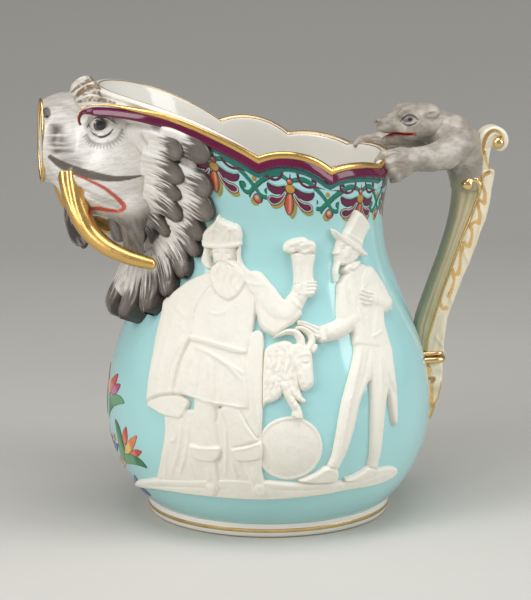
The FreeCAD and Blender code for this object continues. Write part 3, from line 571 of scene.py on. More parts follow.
# Each figure seen straight on from the side, mm: (kind, height, edge or radii or width, points).
FRIEZE = {
    "frieze_ground": (
        ("area", 2.5, 1.6, ((-70.9, 26), (-60.3, 32.7), (-42.1, 36.3), (-20.6, 39.5), (-3.5, 39), (16.7, 36.7), (35.5,
         35.5), (39.8, 35.4), (44.7, 35.9), (51.8, 37.5), (57.3, 38.7), (61.7, 39.1), (66.3, 37.9), (69.2, 35.5), (69.3,
         32.7), (66.5, 30.4), (63.1, 29.7), (57.6, 28.8), (51.4, 29.2), (43.7, 29.6), (38.3, 29.3), (30.2, 28.5), (16.8,
         27.8), (-3.5, 26.8), (-26, 27), (-42.3, 26.6), (-53.3, 26), (-61.7, 24.5), (-71.2, 20.5), (-72.9, 21.8))),
        ("line", -0.35, 0.74, ((-64.5, 27), (-42.2, 31.9), (-20.6, 33.3))),
        ("line", -0.35, 0.74, ((0.7, 34.1), (16.7, 33), (32.8, 32.7))),
        ("line", 0.4, 0.99, ((40.9, 33.4), (51.9, 33.7), (64.7, 35.2))),
    ),
    "robed_man": (
        ("area", 1.7, 1.2, ((-55.4, 73.2), (-3.5, 80.3), (-3.5, 67.1), (-3, 53.5), (-3.5, 39), (-20.6, 37), (-42.1,
         34.4), (-60.3, 32), (-58.5, 39.7), (-57.2, 47.9), (-55.5, 56.9), (-54.9, 63.6), (-55.4, 70))),
        ("line", 0.7, 0.99, ((-50.5, 70.8), (-48.3, 63.6), (-49.4, 58), (-52.2, 56.4))),
        ("line", 0.6, 0.93, ((-45.6, 70.5), (-46.7, 55.6), (-51.9, 35))),
        ("line", 0.6, 0.87, ((-41.8, 70), (-43, 53.4), (-47.5, 35.9))),
        ("line", 0.5, 0.74, ((-53.3, 57.3), (-54.7, 34.3))),
        ("line", 0.5, 0.87, ((-22.6, 71.8), (-22.1, 55.5), (-22.7, 39.3))),
        ("line", 0.5, 0.87, ((-19.4, 48.9), (-16.3, 39.7))),
        ("line", 0.45, 0.74, ((-41.9, 47.8), (-38.8, 37.5))),
        ("line", 0.5, 0.81, ((-44, 80.2), (-44, 69.7))),
        ("area", 2.7, 1.3, ((-12.5, 112.9), (-6.2, 118.1), (-2.5, 116.1), (-2.5, 107.2), (-3, 93.2), (-3, 77.7), (-3.5,
         68.2), (-5.1, 61.7), (-9.3, 67), (-13, 73.3), (-16.2, 78.4))),
        ("line", 0.5, 0.87, ((-6.7, 113.1), (-7.7, 98.1), (-6.7, 80.3), (-5.1, 67.1))),
        ("line", -0.4, 0.62, ((-10.4, 110.5), (-11.4, 98), (-9.9, 80.2), (-10.9, 75))),
        ("limb", 3.3, (6.8, 7, 7.6), ((-32.7, 79.4), (-32.7, 68.8), (-32.2, 56.9))),
        ("area", 3.3, 2.2, ((-22.6, 80.2), (-14.6, 78.5), (-12, 72.3), (-8.3, 66.5), (-4, 60.6), (-12, 58.3), (-19.9,
         56.2), (-21.5, 65.4), (-25.8, 76.8))),
        ("line", 0.5, 0.99, ((-38, 75.7), (-38.6, 57.9))),
        ("line", -0.5, 0.81, ((-27.9, 78.8), (-26.3, 73.6), (-27.9, 68.7))),
        ("line", 0.4, 0.99, ((-32.7, 65.6), (-31.1, 58.1))),
        ("line", 0.5, 0.99, ((-13.6, 75.4), (-10.9, 68.1), (-5.6, 61.2))),
        ("area", 2.9, 2.2, ((-37.1, 49.6), (-26.4, 50.7), (-25.9, 42.6), (-24.9, 35.4), (-24.4, 31.7), (-26.5, 28.9),
         (-31.4, 27.7), (-34.1, 29.9), (-32.9, 35.8), (-34.5, 41.7))),
        ("area", 2.9, 2.2, ((-15.2, 51.4), (-3.5, 52.3), (-3.5, 44.9), (-2.5, 39.6), (0.2, 33.5), (-0.9, 29.7), (-7.8,
         28.9), (-9.9, 32), (-9.9, 37.6), (-12.5, 44.7))),
        ("limb", 3.9, (4.1, 3.2), ((-29.7, 33.7), (-29.2, 30.6))),
        ("limb", 3.9, (4.3, 3.2), ((-5.1, 34.7), (-4.1, 32.2))),
        ("line", 0.5, 0.87, ((-31.7, 45.6), (-30.2, 37.4))),
        ("line", 0.5, 0.87, ((-8.8, 47.1), (-6.7, 38.9))),
        ("area", 4, 1.5, ((-41.9, 57.4), (-33.3, 56.8), (-24.2, 57.9), (-25, 50.8), (-29, 48.2), (-37.1, 48.2), (-40.3,
         50.3))),
        ("area", 4, 1.5, ((-19.9, 57.1), (-12, 58.5), (-4, 61.5), (-3, 59.6), (-3.3, 51.2), (-10.9, 49.6), (-17.3,
         49.9), (-18.9, 52.9))),
        ("line", 0.45, 0.81, ((-41.3, 56.1), (-33.3, 56), (-24.7, 57))),
        ("line", 0.45, 0.81, ((-19.4, 56.3), (-12, 57.7), (-4, 60.4))),
        ("area", 3.5, 2, ((-30.2, 139.3), (-35.5, 131.3), (-38.2, 124.5), (-39.2, 118.4), (-39.2, 113), (-41.9, 106.7),
         (-45.1, 100.4), (-47.2, 92.6), (-48.8, 85.7), (-49.4, 81.5), (-44, 82), (-39.1, 80.8), (-32.1, 79.5), (-27.9,
         78.3), (-21.5, 78.2), (-15.1, 76.9), (-9.9, 77.1), (-10.4, 85.4), (-11.4, 95.5), (-11.5, 104), (-9.3, 110.5),
         (-7.8, 118.1), (-6.2, 127.1), (-5.6, 138.1), (-12, 143))),
        ("limb", 4.2, (14.6, 13.5), ((-25.3, 126.2), (-24.8, 117.3))),
        ("area", 4.4, 1.1, ((-40.3, 112.9), (-33.3, 111.9), (-24.7, 110.3), (-16.2, 108.3), (-10.9, 107.5), (-11.5,
         104.5), (-17.3, 104.8), (-25.8, 106.8), (-34.4, 108.5), (-40.8, 109.1))),
        ("line", 0.4, 0.74, ((-38.7, 111.6), (-28.5, 109.8), (-12, 106.5))),
        ("line", 0.55, 0.99, ((-38.6, 107.1), (-29, 103.6), (-19.4, 97.7), (-12.5, 90.9))),
        ("line", 0.5, 0.99, ((-33.8, 106.6), (-23.7, 101.5), (-15.2, 96.9), (-12, 94.5))),
        ("line", 0.6, 1.2, ((-38.6, 105.1), (-42.4, 94.7), (-45, 82.2))),
        ("line", -0.5, 0.99, ((-34.3, 103.6), (-35.4, 92.5), (-37, 81.1))),
        ("line", 0.75, 1.1, ((-30.1, 103), (-29.5, 92), (-28.9, 79.7))),
        ("line", -0.5, 0.87, ((-26.8, 101.2), (-26.8, 89.7), (-26.3, 79.9))),
        ("line", 0.5, 0.99, ((-23.6, 96.5), (-24.2, 87.3), (-23.6, 78.6))),
        ("line", 0.6, 1.1, ((-12.5, 103), (-12, 90.5), (-10.9, 78.6))),
        ("line", -0.4, 0.99, ((-17.3, 93.8), (-16.2, 85.2), (-15.1, 78))),
        ("line", 0.5, 0.81, ((-48.3, 82.5), (-41.8, 82.1), (-32.1, 80.5), (-21.5, 79.2), (-10.9, 78.4))),
        ("line", 0.35, 0.93, ((-32.3, 125.2), (-25.8, 124.2), (-19.5, 126.6))),
        ("line", -0.35, 0.74, ((-8.8, 133), (-9.9, 120.5), (-10.4, 113))),
        ("area", 2.9, 1.2, ((-63.7, 75.7), (-55.4, 80.5), (-46.1, 82), (-40.2, 79.7), (-44, 71.8), (-46.1, 69.4),
         (-54.8, 69.5), (-60.3, 71.4), (-64.2, 72.9))),
        ("area", 3.9, 1.7, ((-30.2, 145.9), (-36.7, 142.7), (-42.1, 139.4), (-47.5, 134.6), (-53, 129.7), (-55.2,
         126.8), (-55.7, 123.2), (-56.8, 118.1), (-58.4, 112.9), (-59.4, 107.8), (-61.5, 96.6), (-63.1, 88.2), (-63.7,
         81.9), (-64.2, 76.6), (-64.2, 74), (-60.3, 77.7), (-54.3, 80.5), (-48.3, 81.7), (-48.3, 85.8), (-46.7, 92.7),
         (-44.6, 100.4), (-41.3, 106.8), (-38.1, 113.1), (-38.2, 118.6), (-37.1, 124.7), (-33.9, 131), (-29.6, 136.9),
         (-24.8, 141.3), (-25.9, 146.3))),
        ("line", 0.8, 1.1, ((-29.1, 138.4), (-34.5, 131.4), (-37.7, 124.6), (-38.7, 118), (-39, 113.5), (-42.4, 107.2),
         (-46.2, 99.2), (-48.3, 90.9), (-49.6, 82.5))),
        ("line", 0.6, 1.1, ((-40.3, 110.9), (-47.3, 104), (-51, 95.5), (-52.1, 83.2))),
        ("line", -0.6, 0.93, ((-43.5, 106), (-48.3, 97.9), (-50.5, 90.6), (-51, 82.3))),
        ("line", 0.45, 1.4, ((-44.2, 130.2), (-48.5, 119.6), (-52.8, 106.6), (-56.5, 91.1), (-58.1, 80))),
        ("line", -0.4, 1.1, ((-38.8, 130.9), (-42.5, 121.5), (-41.9, 114.6), (-45.2, 109.3))),
        ("line", 0.35, 0.99, ((-48, 126.1), (-44.2, 122.3), (-42, 119.6))),
        ("line", 0.35, 1.2, ((-51.8, 124), (-55, 111.1), (-58.7, 95.7), (-60.9, 80))),
        ("area", 3.7, 2.2, ((-7.8, 137.1), (-6.7, 127.1), (-5.6, 120.6), (-2.5, 116.6), (3.4, 113.9), (7.1, 116.8),
         (11.3, 119.5), (15, 122.1), (18.2, 125.2), (14.5, 130.8), (6, 133.1), (-0.3, 140.2))),
        ("limb", 4.4, (6.5, 7.6, 7.6, 5.9), ((-7.2, 141.1), (-2.5, 134.1), (3.4, 127.1), (9.7, 125))),
        ("limb", 4.6, (5.7, 5.1, 4.3), ((10.3, 125.5), (14, 131.4), (17.2, 136.2))),
        ("area", 4.3, 1.6, ((-14.7, 152.2), (-10.4, 147.7), (-5.6, 146.2), (-0.3, 140.7), (2.3, 133.1), (-3.5, 133.1),
         (-9.9, 135), (-13.1, 141.9))),
        ("line", 0.5, 0.81, ((11.3, 133), (13.5, 129.9), (18.8, 126.1))),
        ("line", -0.45, 0.68, ((12.4, 134.4), (15.6, 130.8), (19.8, 128.1))),
        ("line", 0.4, 1.1, ((-3.5, 135.1), (-4.6, 127.1), (-3.5, 118.1))),
        ("line", 0.35, 0.99, ((2.3, 133.1), (3.9, 124.1), (3.4, 116.1))),
        ("line", 0.35, 0.93, ((-12, 141.5), (-7.8, 140.1), (-1.4, 139.7))),
        ("line", -0.35, 0.99, ((-6.2, 133.1), (-7.2, 124.1), (-5.6, 118.1))),
        ("area", 4.7, 1.6, ((12.4, 139.9), (18.3, 141.5), (24.2, 141.3), (24.7, 137.3), (23.6, 133.8), (19.9, 132.6),
         (15.1, 133.3), (12.4, 135.9))),
        ("limb", 5.2, (0.9, 0.9), ((19.3, 140.5), (23.9, 140.3))),
        ("limb", 5.2, (1, 0.9), ((19.3, 138.6), (24.1, 138.4))),
        ("limb", 5.2, (1, 0.9), ((19.1, 136.7), (23.9, 136.5))),
        ("limb", 5.1, (0.9, 0.8), ((18.8, 134.9), (22.8, 134.6))),
        ("limb", 5.2, (1.2, 1.1, 1), ((15.1, 134.8), (15.6, 137.8), (16.7, 140.3))),
        ("area", 3.9, 1.5, ((-33.4, 159.2), (-30.2, 158.5), (-30.2, 153.2), (-29.1, 147.1), (-31.8, 146.3), (-34.5,
         148.6), (-35.1, 151.6), (-34, 154.9))),
        ("area", 3.9, 1.4, ((-16.3, 160.1), (-14.4, 160.1), (-14.7, 154.3), (-13.1, 150.7), (-11, 147.7), (-14.7, 147),
         (-16.8, 152.1))),
        ("line", 0.5, 0.62, ((-32.4, 157.2), (-33.4, 152.8), (-32.4, 148.3))),
        ("line", 0.4, 0.56, ((-15.2, 158.5), (-15.5, 153.2), (-13.1, 148.6))),
        ("limb", 4.9, (6.8, 5.9), ((-23.2, 157), (-23, 151.7))),
        ("area", 4.9, 2.2, ((-26.4, 152.5), (-29.7, 148), (-30.7, 142.8), (-30.2, 137.8), (-27.5, 134.1), (-23.7,
         131.3), (-20, 130.1), (-15.7, 132.8), (-12.6, 136.9), (-11, 141.5), (-11.5, 146.6), (-13.6, 150.1), (-17.4,
         153.1), (-22.2, 153.9))),
        ("area", 4.3, 1.5, ((-34, 158.6), (-34.8, 163.3), (-33.9, 167.3), (-30.7, 171.5), (-28, 174.5), (-26.6, 178.2),
         (-24.8, 175.9), (-21.6, 174.2), (-18.4, 173), (-15.7, 172.3), (-14.1, 169.9), (-13.6, 166.1), (-14.2, 160.1),
         (-23.8, 158.5))),
        ("area", 5, 1.1, ((-34.2, 161.5), (-29.1, 161.5), (-23.8, 161.7), (-18.4, 162.6), (-13.6, 163.7), (-13.9,
         160.4), (-18.4, 159.1), (-23.8, 158.3), (-29.1, 158.1), (-33.4, 158.4))),
        ("line", 0.5, 0.74, ((-26.6, 176.3), (-28, 170.6), (-28, 163))),
        ("line", 0.5, 0.74, ((-20.5, 173.4), (-20, 168.5), (-20.5, 163.6))),
        ("line", 0.35, 0.62, ((-32.3, 162.5), (-30.2, 168.2), (-27.5, 170.7), (-24.3, 167.6), (-23.2, 163.4))),
        ("line", 0.35, 0.62, ((-23.2, 163.4), (-21.1, 169.5), (-18.9, 170.7), (-16.8, 168.1), (-15.2, 164.4))),
        ("limb", 5.5, (0.45, 0.95), ((-23.1, 157.6), (-23.2, 154.5))),
        ("line", 0.35, 0.55, ((-27.6, 157.7), (-26.0, 158.6), (-24.2, 158.1))),
        ("line", 0.35, 0.55, ((-22.1, 158.1), (-20.4, 158.6), (-18.9, 157.7))),
        ("line", -0.5, 0.45, ((-27.2, 156.6), (-26.0, 156.2), (-24.8, 156.6))),
        ("line", -0.5, 0.45, ((-21.6, 156.6), (-20.4, 156.2), (-19.3, 156.6))),
        ("limb", 5.1, (0.9, 0.9), ((-26.9, 154.2), (-26.5, 154.0))), ("limb", 5.1, (0.9, 0.9), ((-19.7, 154.0), (-19.4, 154.2))),
        ("limb", 5.5, (0.6, 0.75, 0.35), ((-23.4, 153.2), (-26.0, 152.2), (-28.6, 149.6))),
        ("limb", 5.5, (0.6, 0.75, 0.35), ((-22.9, 153.2), (-20.2, 152.2), (-17.4, 149.6))),
        ("line", -0.4, 0.4, ((-24.2, 151.6), (-23.1, 151.3), (-22.0, 151.6))),
        ("line", 0.5, 0.6, ((-27.5, 149.0), (-29.6, 144.0), (-27.0, 139.0), (-27.2, 134.5))),
        ("line", 0.5, 0.6, ((-25.2, 150.0), (-26.2, 145.0), (-24.0, 140.0), (-24.8, 133.0))),
        ("line", 0.5, 0.6, ((-22.8, 150.0), (-22.0, 145.0), (-23.0, 140.0), (-21.2, 131.5))),
        ("line", 0.5, 0.6, ((-20.4, 150.0), (-18.6, 145.5), (-19.8, 140.0), (-18.2, 132.0))),
        ("line", 0.5, 0.6, ((-17.4, 149.0), (-14.8, 144.5), (-16.6, 139.0), (-14.6, 134.5))),
        ("line", 0.45, 0.55, ((-14.4, 147.0), (-12.4, 142.5), (-13.4, 138.0))),
        ("line", -0.4, 0.4, ((-24.0, 148.5), (-25.0, 144.0), (-23.2, 139.0), (-23.0, 132.5))),
        ("line", -0.4, 0.4, ((-19.2, 148.0), (-17.2, 144.5), (-18.6, 139.0), (-16.6, 133.5))),
    ),
    "beaker": (
        ("area", 3.5, 1.8, ((11.4, 156.5), (14.5, 157.5), (19.9, 157.2), (24.7, 155.8), (24.2, 152.7), (23.4, 148.6),
         (23.4, 143.4), (24.1, 139.3), (18.3, 138.2), (12.9, 139.4), (13.2, 144), (12.7, 149.1), (12.2, 153.3))),
        ("area", 4.3, 2, ((7.6, 157.7), (7.4, 160.9), (9.2, 163), (11.3, 164), (15.1, 164.9), (18.8, 165), (20.9,
         163.3), (24.1, 162.2), (24.7, 159.5), (24.2, 157.4), (25, 155.8), (20.9, 156.1), (17.7, 154.7), (14.5, 157.5),
         (11.9, 156), (9.8, 156.6))),
        ("line", 0.35, 0.62, ((15.6, 153.2), (15.9, 141.8))),
        ("line", 0.35, 0.62, ((19.9, 153.5), (19.9, 141.6))),
        ("line", 0.4, 0.74, ((10.3, 160.8), (13.5, 162.3), (16.7, 160.6), (20.4, 161.4), (23.1, 159.1))),
        ("line", -0.3, 0.56, ((12.4, 158.6), (16.7, 157.9), (20.9, 158.7))),
    ),
    "barrel": (
        ("limb", 3, (17.6, 17.6), ((10.9, 56.1), (11, 56.1))),
    ),
    "goat": (
        ("area", 3, 2.4, ((-2.5, 107.2), (-0.3, 109.7), (3.9, 111.6), (8.7, 112.5), (12.9, 110.9), (15, 101.9), (15.5,
         92.9), (16.6, 86.7), (18.7, 81.4), (16, 80.5), (12.9, 84.8), (10.8, 89.5), (7.6, 91.1), (7.1, 84.4), (3.9,
         81.9), (0.7, 80.9), (-1.9, 80.3), (-3.5, 76.7), (-3.5, 93.2))),
        ("limb", 3.3, (2.2, 1.8, 1.3), ((10.2, 91), (14.5, 84.2), (18.2, 81.5))),
        ("limb", 3.7, (2.7, 2.4, 2.3, 1.9), ((8.1, 90), (11.3, 83.3), (15, 76.9), (15.5, 73.7))),
        ("area", 3.8, 1.2, ((12.3, 77), (17.1, 77.4), (18.2, 72.6), (16.6, 71.6), (11.8, 73.4))),
        ("area", 4.4, 2.6, ((11.3, 110), (16.1, 110.8), (20.3, 109.1), (22.4, 106.5), (23, 102.5), (23.2, 97.5), (23.7,
         92.4), (23.5, 89.4), (21.3, 87), (18.7, 86.3), (16.6, 87.2), (15, 90.3), (13.9, 94.9), (11.3, 100), (9.7,
         105.5))),
        ("area", 4, 1.2, ((20.9, 109.1), (23.5, 109.9), (25.7, 109.5), (25.1, 106.3), (23, 104), (20.9, 106.1))),
        ("limb", 4.3, (2.4, 2.1, 1.8, 1.5, 1.1, 0.5), ((17.1, 108.8), (16.6, 112.8), (14, 115.9), (9.7, 116.5), (6,
         115.3), (2.6, 113.6))),
        ("limb", 4.4, (2.3, 2.1, 1.8, 1.5, 1.1), ((20.9, 107.6), (22.5, 111.5), (21.4, 115), (18.2, 117.4), (15,
         118.1))),
        ("limb", 4.9, (3, 3), ((18.7, 97.2), (20.3, 90.6))),
        ("line", 0.5, 0.62, ((15.5, 103.4), (18.2, 104.7), (21.4, 103.6))),
        ("line", -0.7, 0.5, ((16.9, 100.8), (18.7, 99.5), (20.8, 100.6))),
        ("limb", 4.9, (1.2, 1.2), ((18.8, 101), (19, 101))),
        ("line", -0.6, 0.43, ((17.4, 90.2), (18.2, 89.2))),
        ("line", -0.6, 0.43, ((21.1, 89), (21.9, 90))),
        ("line", -0.5, 0.43, ((16.6, 88.2), (19.2, 87.1), (22.4, 87.9))),
        ("line", 0.45, 0.62, ((-0.3, 107.2), (1.8, 100.2), (-0.3, 93.2), (1.8, 84))),
        ("line", 0.4, 0.62, ((3.9, 108.6), (6.5, 102.1), (4.4, 94.2), (5.5, 85))),
        ("line", 0.45, 0.62, ((8.7, 109.1), (10.2, 103), (8.6, 96.1))),
        ("line", -0.4, 0.56, ((1.8, 108.2), (4.4, 101.2), (2.3, 93.2), (3.9, 85))),
        ("line", -0.4, 0.56, ((6.5, 109.1), (8.6, 102.1), (7.1, 94.1))),
        ("line", 0.5, 0.62, ((12.9, 97), (15, 90.9), (17.6, 83.6))),
        ("line", -0.4, 0.56, ((11.8, 94), (14.5, 87.8))),
    ),
    "hatted_man": (
        ("area", 3.1, 1.3, ((55.5, 113.5), (61.1, 113.2), (62.7, 107), (64.6, 100.8), (65.9, 91.6), (67.5, 80), (68.3,
         69.2), (68.1, 62.7), (66.7, 60.6), (65.3, 65.7), (64.1, 72.9), (63, 80), (60.8, 85.2), (56.4, 92.6))),
        ("area", 3.5, 2.6, ((44, 113.4), (45, 107.3), (45, 102.4), (43, 94.7), (40.6, 86.8), (38.4, 79.3), (36.8, 70.6),
         (35.3, 61), (33.2, 50.6), (30.5, 45.1), (36.5, 42.6), (38.6, 47.1), (41.8, 54.1), (44.4, 62), (46.5, 70.4),
         (48.1, 78.1), (51.4, 85.9), (54.2, 89), (56.4, 98.6), (56.6, 110.3))),
        ("area", 3.5, 2.6, ((51, 109.4), (52, 94.4), (53.3, 86.1), (53.9, 76.1), (53.9, 62.7), (53.7, 51.5), (53.3,
         45.8), (52.3, 41.2), (58.4, 38.4), (58, 43.5), (59.6, 49.1), (60.8, 61.3), (61.9, 74.5), (63.6, 83), (64.2,
         94.5), (62.1, 107.2))),
        ("area", 3.2, 1.5, ((30, 45.8), (36.5, 43.8), (37, 39.6), (36, 35.7), (26.3, 35.9), (18.3, 37.2), (14.6, 38.3),
         (19.3, 40.1), (25.2, 42.4))),
        ("area", 3.2, 1.5, ((52.2, 42.4), (58.4, 39.7), (59, 37), (53.5, 35.3), (45.8, 34.4), (39.8, 35.1), (39.8, 37),
         (44.7, 38), (49, 40))),
        ("line", 0.5, 0.99, ((47.7, 104.9), (44.9, 90.4), (40.6, 72.8), (36.9, 51.3))),
        ("line", 0.5, 0.99, ((58.1, 102.2), (58, 83.1), (56.9, 62.1), (55.5, 45.3))),
        ("line", -0.35, 0.74, ((52.1, 104.3), (49.8, 93.7), (46.5, 82.5))),
        ("line", 0.35, 0.74, ((43.3, 82.9), (40.6, 78.6), (42.2, 75.2))),
        ("line", 0.5, 0.74, ((64.3, 100.8), (65.8, 84), (66.9, 67.9))),
        ("area", 3.9, 2.2, ((36, 138.2), (38.7, 142.4), (40.9, 144.6), (44.7, 146.1), (48.6, 147.4), (53.1, 143.9), (57,
         139), (60.3, 133.3), (63.1, 127.7), (64.7, 122.9), (65.5, 119.8), (62.3, 119.2), (59.8, 119.4), (60.5, 114.8),
         (62.1, 108.6), (63.7, 102.9), (57, 102.4), (49.9, 104.6), (44.5, 106.4), (44.2, 113.3), (39.7, 117.9), (36.4,
         120.8), (36.2, 128.7))),
        ("area", 4.2, 1.4, ((55.1, 128.2), (60.1, 121.3), (60.5, 114.8), (62.4, 108.1), (64.6, 100.8), (65.8, 90.6),
         (67.2, 80), (66.3, 76.1), (63, 84.2), (59.7, 94), (56.5, 103.5), (52.1, 110.2))),
        ("area", 4.3, 1.3, ((39.8, 143.8), (43.6, 144.2), (45.8, 134.9), (47.3, 124.8), (50, 115.4), (52.1, 109.7),
         (48.9, 112.7), (45.1, 119.2), (42.4, 128), (40.3, 135.7))),
        ("area", 4.3, 1.3, ((49.2, 145.3), (53, 140.9), (52.4, 136.2), (49.6, 133.3), (46.8, 131.3), (46.3, 137.8))),
        ("line", -0.4, 0.62, ((44.6, 130.1), (45.7, 121.1), (50, 112.5))),
        ("line", 0.4, 0.62, ((52.7, 109.1), (55.5, 110), (58.8, 111.3))),
        ("line", 0.35, 0.62, ((38.7, 138.4), (39.2, 130.9), (41.8, 121.6))),
        ("line", -0.35, 0.56, ((48.9, 121.5), (50, 119.4))),
        ("line", -0.35, 0.56, ((48.4, 125.6), (49.5, 123.4))),
        ("limb", 4.1, (4.1, 4.1, 4.6), ((40.3, 134.7), (39.7, 127.8), (40.7, 119.7))),
        ("limb", 4.5, (5.4, 5, 4.3), ((43.5, 119.4), (35.9, 115.8), (28.3, 114.5))),
        ("area", 4.6, 1.3, ((27.3, 118.6), (30, 118.6), (30.2, 110.4), (27.8, 109.6), (25.9, 111.2))),
        ("area", 4.2, 1.3, ((14.5, 122.1), (18.2, 121.7), (22.5, 119.7), (26.8, 118.2), (27, 111.2), (24.3, 111.9),
         (21.9, 115), (18.2, 118.2), (15, 119.8))),
        ("limb", 4.8, (1.1, 1, 0.8), ((25.1, 116.8), (20.4, 119.3), (16.1, 121))),
        ("limb", 4.7, (1, 0.9, 0.7), ((25.1, 114.8), (21.4, 117), (18.2, 118.9))),
        ("limb", 4.6, (1, 0.8), ((25.1, 112.8), (22.5, 114))),
        ("limb", 4.6, (4.9, 4.9, 4.6), ((51.4, 140.3), (56.3, 132.4), (60.7, 124))),
        ("limb", 4.9, (4.3, 3.8, 3.2), ((61.3, 123.4), (56.8, 125.7), (52.9, 128.2))),
        ("line", 0.4, 0.62, ((55.1, 130.2), (54.5, 126.9), (55.6, 122.8))),
        ("line", -0.35, 0.62, ((56.9, 134.7), (59.1, 130.2))),
        ("line", -0.35, 0.62, ((53.6, 136.9), (55.7, 133))),
        ("limb", 5.2, (1, 0.9, 0.6), ((52.9, 130.4), (49.6, 132), (47.4, 133.4))),
        ("limb", 5.2, (1, 0.9, 0.6), ((52.9, 128.7), (49, 130.4), (46.6, 131.8))),
        ("limb", 5.2, (1, 0.9, 0.6), ((52.3, 127.1), (49, 128.4), (46.5, 129.6))),
        ("limb", 5.1, (0.9, 0.8, 0.6), ((52.3, 125.4), (49.5, 126.1), (47.4, 127.2))),
        ("area", 4.3, 1.4, ((39.3, 148), (44.8, 149.2), (48.1, 148.6), (46.4, 145.3), (43.1, 142.8), (39.8, 142.3),
         (37.6, 145.1))),
        ("line", 0.4, 0.56, ((39.8, 146.8), (43.1, 145.3), (46.4, 146.8))),
        ("line", -0.35, 0.5, ((39.8, 144.8), (43.1, 143.8), (45.8, 144.9))),
        ("area", 4.2, 1.8, ((45.7, 176.9), (47.4, 176.3), (49.6, 173.6), (51.6, 169.7), (52.8, 166.1), (50.6, 162.3),
         (48.9, 158.4), (48.4, 153.7), (43.7, 156.2), (38.7, 160.1), (37.6, 163), (39.8, 166.5), (41.4, 169.5), (43,
         172.6))),
        ("area", 4.9, 1, ((32.5, 168.5), (34.3, 168), (38.2, 164.3), (42.6, 160.4), (47, 156.1), (50.9, 151.6), (50.3,
         149.9), (46.4, 152), (41.5, 156.3), (37.1, 160.4), (33.8, 164.5))),
        ("line", 0.4, 0.62, ((38.7, 166.1), (43.6, 161.5), (48.6, 156.8))),
        ("area", 4.0, 1.6, ((36.6, 162.8), (35.4, 159.6), (35.1, 157.6), (34.4, 156.1), (33.5, 154.7), (34.2, 154.0),
         (34.9, 153.7), (34.8, 152.9), (34.3, 152.4), (34.8, 151.8), (34.5, 151.1), (34.8, 150.4), (34.6, 149.3),
         (35.6, 148.3), (38.4, 147.4), (43.0, 147.6), (46.6, 151.0), (48.6, 155.0), (45.0, 160.0), (40.0, 163.0))),
        ("limb", 4.9, (3.2, 3.0), ((40.0, 156.5), (39.6, 153.0))),
        ("limb", 4.4, (1.3, 1.0, 0.5), ((35.9, 149.2), (34.9, 145.4), (35.3, 139.9))),
        ("line", 0.35, 0.5, ((35.8, 158.8), (37.6, 159.3), (39.6, 158.7))),
        ("line", -0.45, 0.42, ((36.2, 156.9), (37.4, 156.6), (38.6, 157.0))),
        ("line", -0.35, 0.4, ((34.9, 151.6), (36.8, 151.7))),
        ("line", 0.45, 0.45, ((43.6, 156.6), (45.0, 155.6), (44.6, 153.8), (43.4, 153.2))),
        ("line", 0.35, 0.5, ((46.4, 156.0), (47.4, 153.0), (46.6, 149.6))),
        ("line", 0.35, 0.5, ((44.6, 152.0), (45.2, 150.0), (44.0, 147.6))),
    ),
}


def rounded(corners, rounds=2):
    """Closed outline with its corners cut soft."""
    p = np.asarray(corners, float)
    for _ in range(rounds):
        after = np.roll(p, -1, 0)
        p = np.stack([p * 0.82 + after * 0.18, p * 0.18 + after * 0.82], 1).reshape(-1, 2)
    return p


def swell(depth):
    t = np.clip(depth, 0.0, 1.0)
    return np.sqrt(np.maximum(1.0 - (1.0 - t) ** 2, 0.0))


def relief_field(rows, u, z):
    """Outline distance and height of a figure over a grid."""
    outline, height = np.full(u.shape, 1e3), np.zeros(u.shape)
    for kind, amount, size, points in rows:
        p = np.asarray(points)
        reach = (max(size) if isinstance(size, tuple) else 3 * size) + 1.5
        near = ((u > p[:, 0].min() - reach) & (u < p[:, 0].max() + reach)
                & (z > p[:, 1].min() - reach) & (z < p[:, 1].max() + reach))
        x, y = u[near], z[near]
        if kind == "area":
            d = area_distance(x, y, rounded(points))
            height[near] = np.where(d < 0, smax(height[near], amount * swell(-d / size), 0.25), height[near])
            outline[near] = np.minimum(outline[near], d)
        elif kind == "limb":
            track = curve(points, 6 * len(points)) if len(points) > 2 else p
            radii = np.interp(np.linspace(0, 1, len(track)), np.linspace(0, 1, len(size)), size)
            d, along = line_distance(x, y, track, radii)
            girth = np.interp(along, np.linspace(0, 1, len(track)), radii)
            height[near] = np.where(d < 0, smax(height[near], amount * swell(-d / girth), 0.25), height[near])
            outline[near] = np.minimum(outline[near], d)
        else:
            track = curve(points, 8 * len(points))
            d, along = line_distance(x, y, track)
            taper = np.clip(np.minimum(along, 1 - along) * 5, 0, 1) ** 0.7
            height[near] += amount * np.exp(-(d / size) ** 2) * taper * ramp(-outline[near], 0.0, 0.8)
    return outline, height


def relief_skin(outline, height, u, z, low):
    """Kept cells of a height field, their outer points drawn onto the outline and sunk to a low height."""
    gu, gz = np.gradient(outline, u[:, 0], z[0])
    size = np.maximum(np.hypot(gu, gz), 0.3)
    outside = outline > 0
    pull = np.where(outside, np.clip(outline, 0, 0.8) / size ** 2, 0.0)
    px, pz = u - gu * pull, z - gz * pull
    h = np.where(outside, low, height)
    faces = grid_faces(*u.shape)
    inside = (~outside).ravel()
    faces = faces[inside[faces].any(1)]
    used, packed = np.unique(faces, return_inverse=True)
    return px.ravel()[used], pz.ravel()[used], h.ravel()[used], packed.reshape(faces.shape)


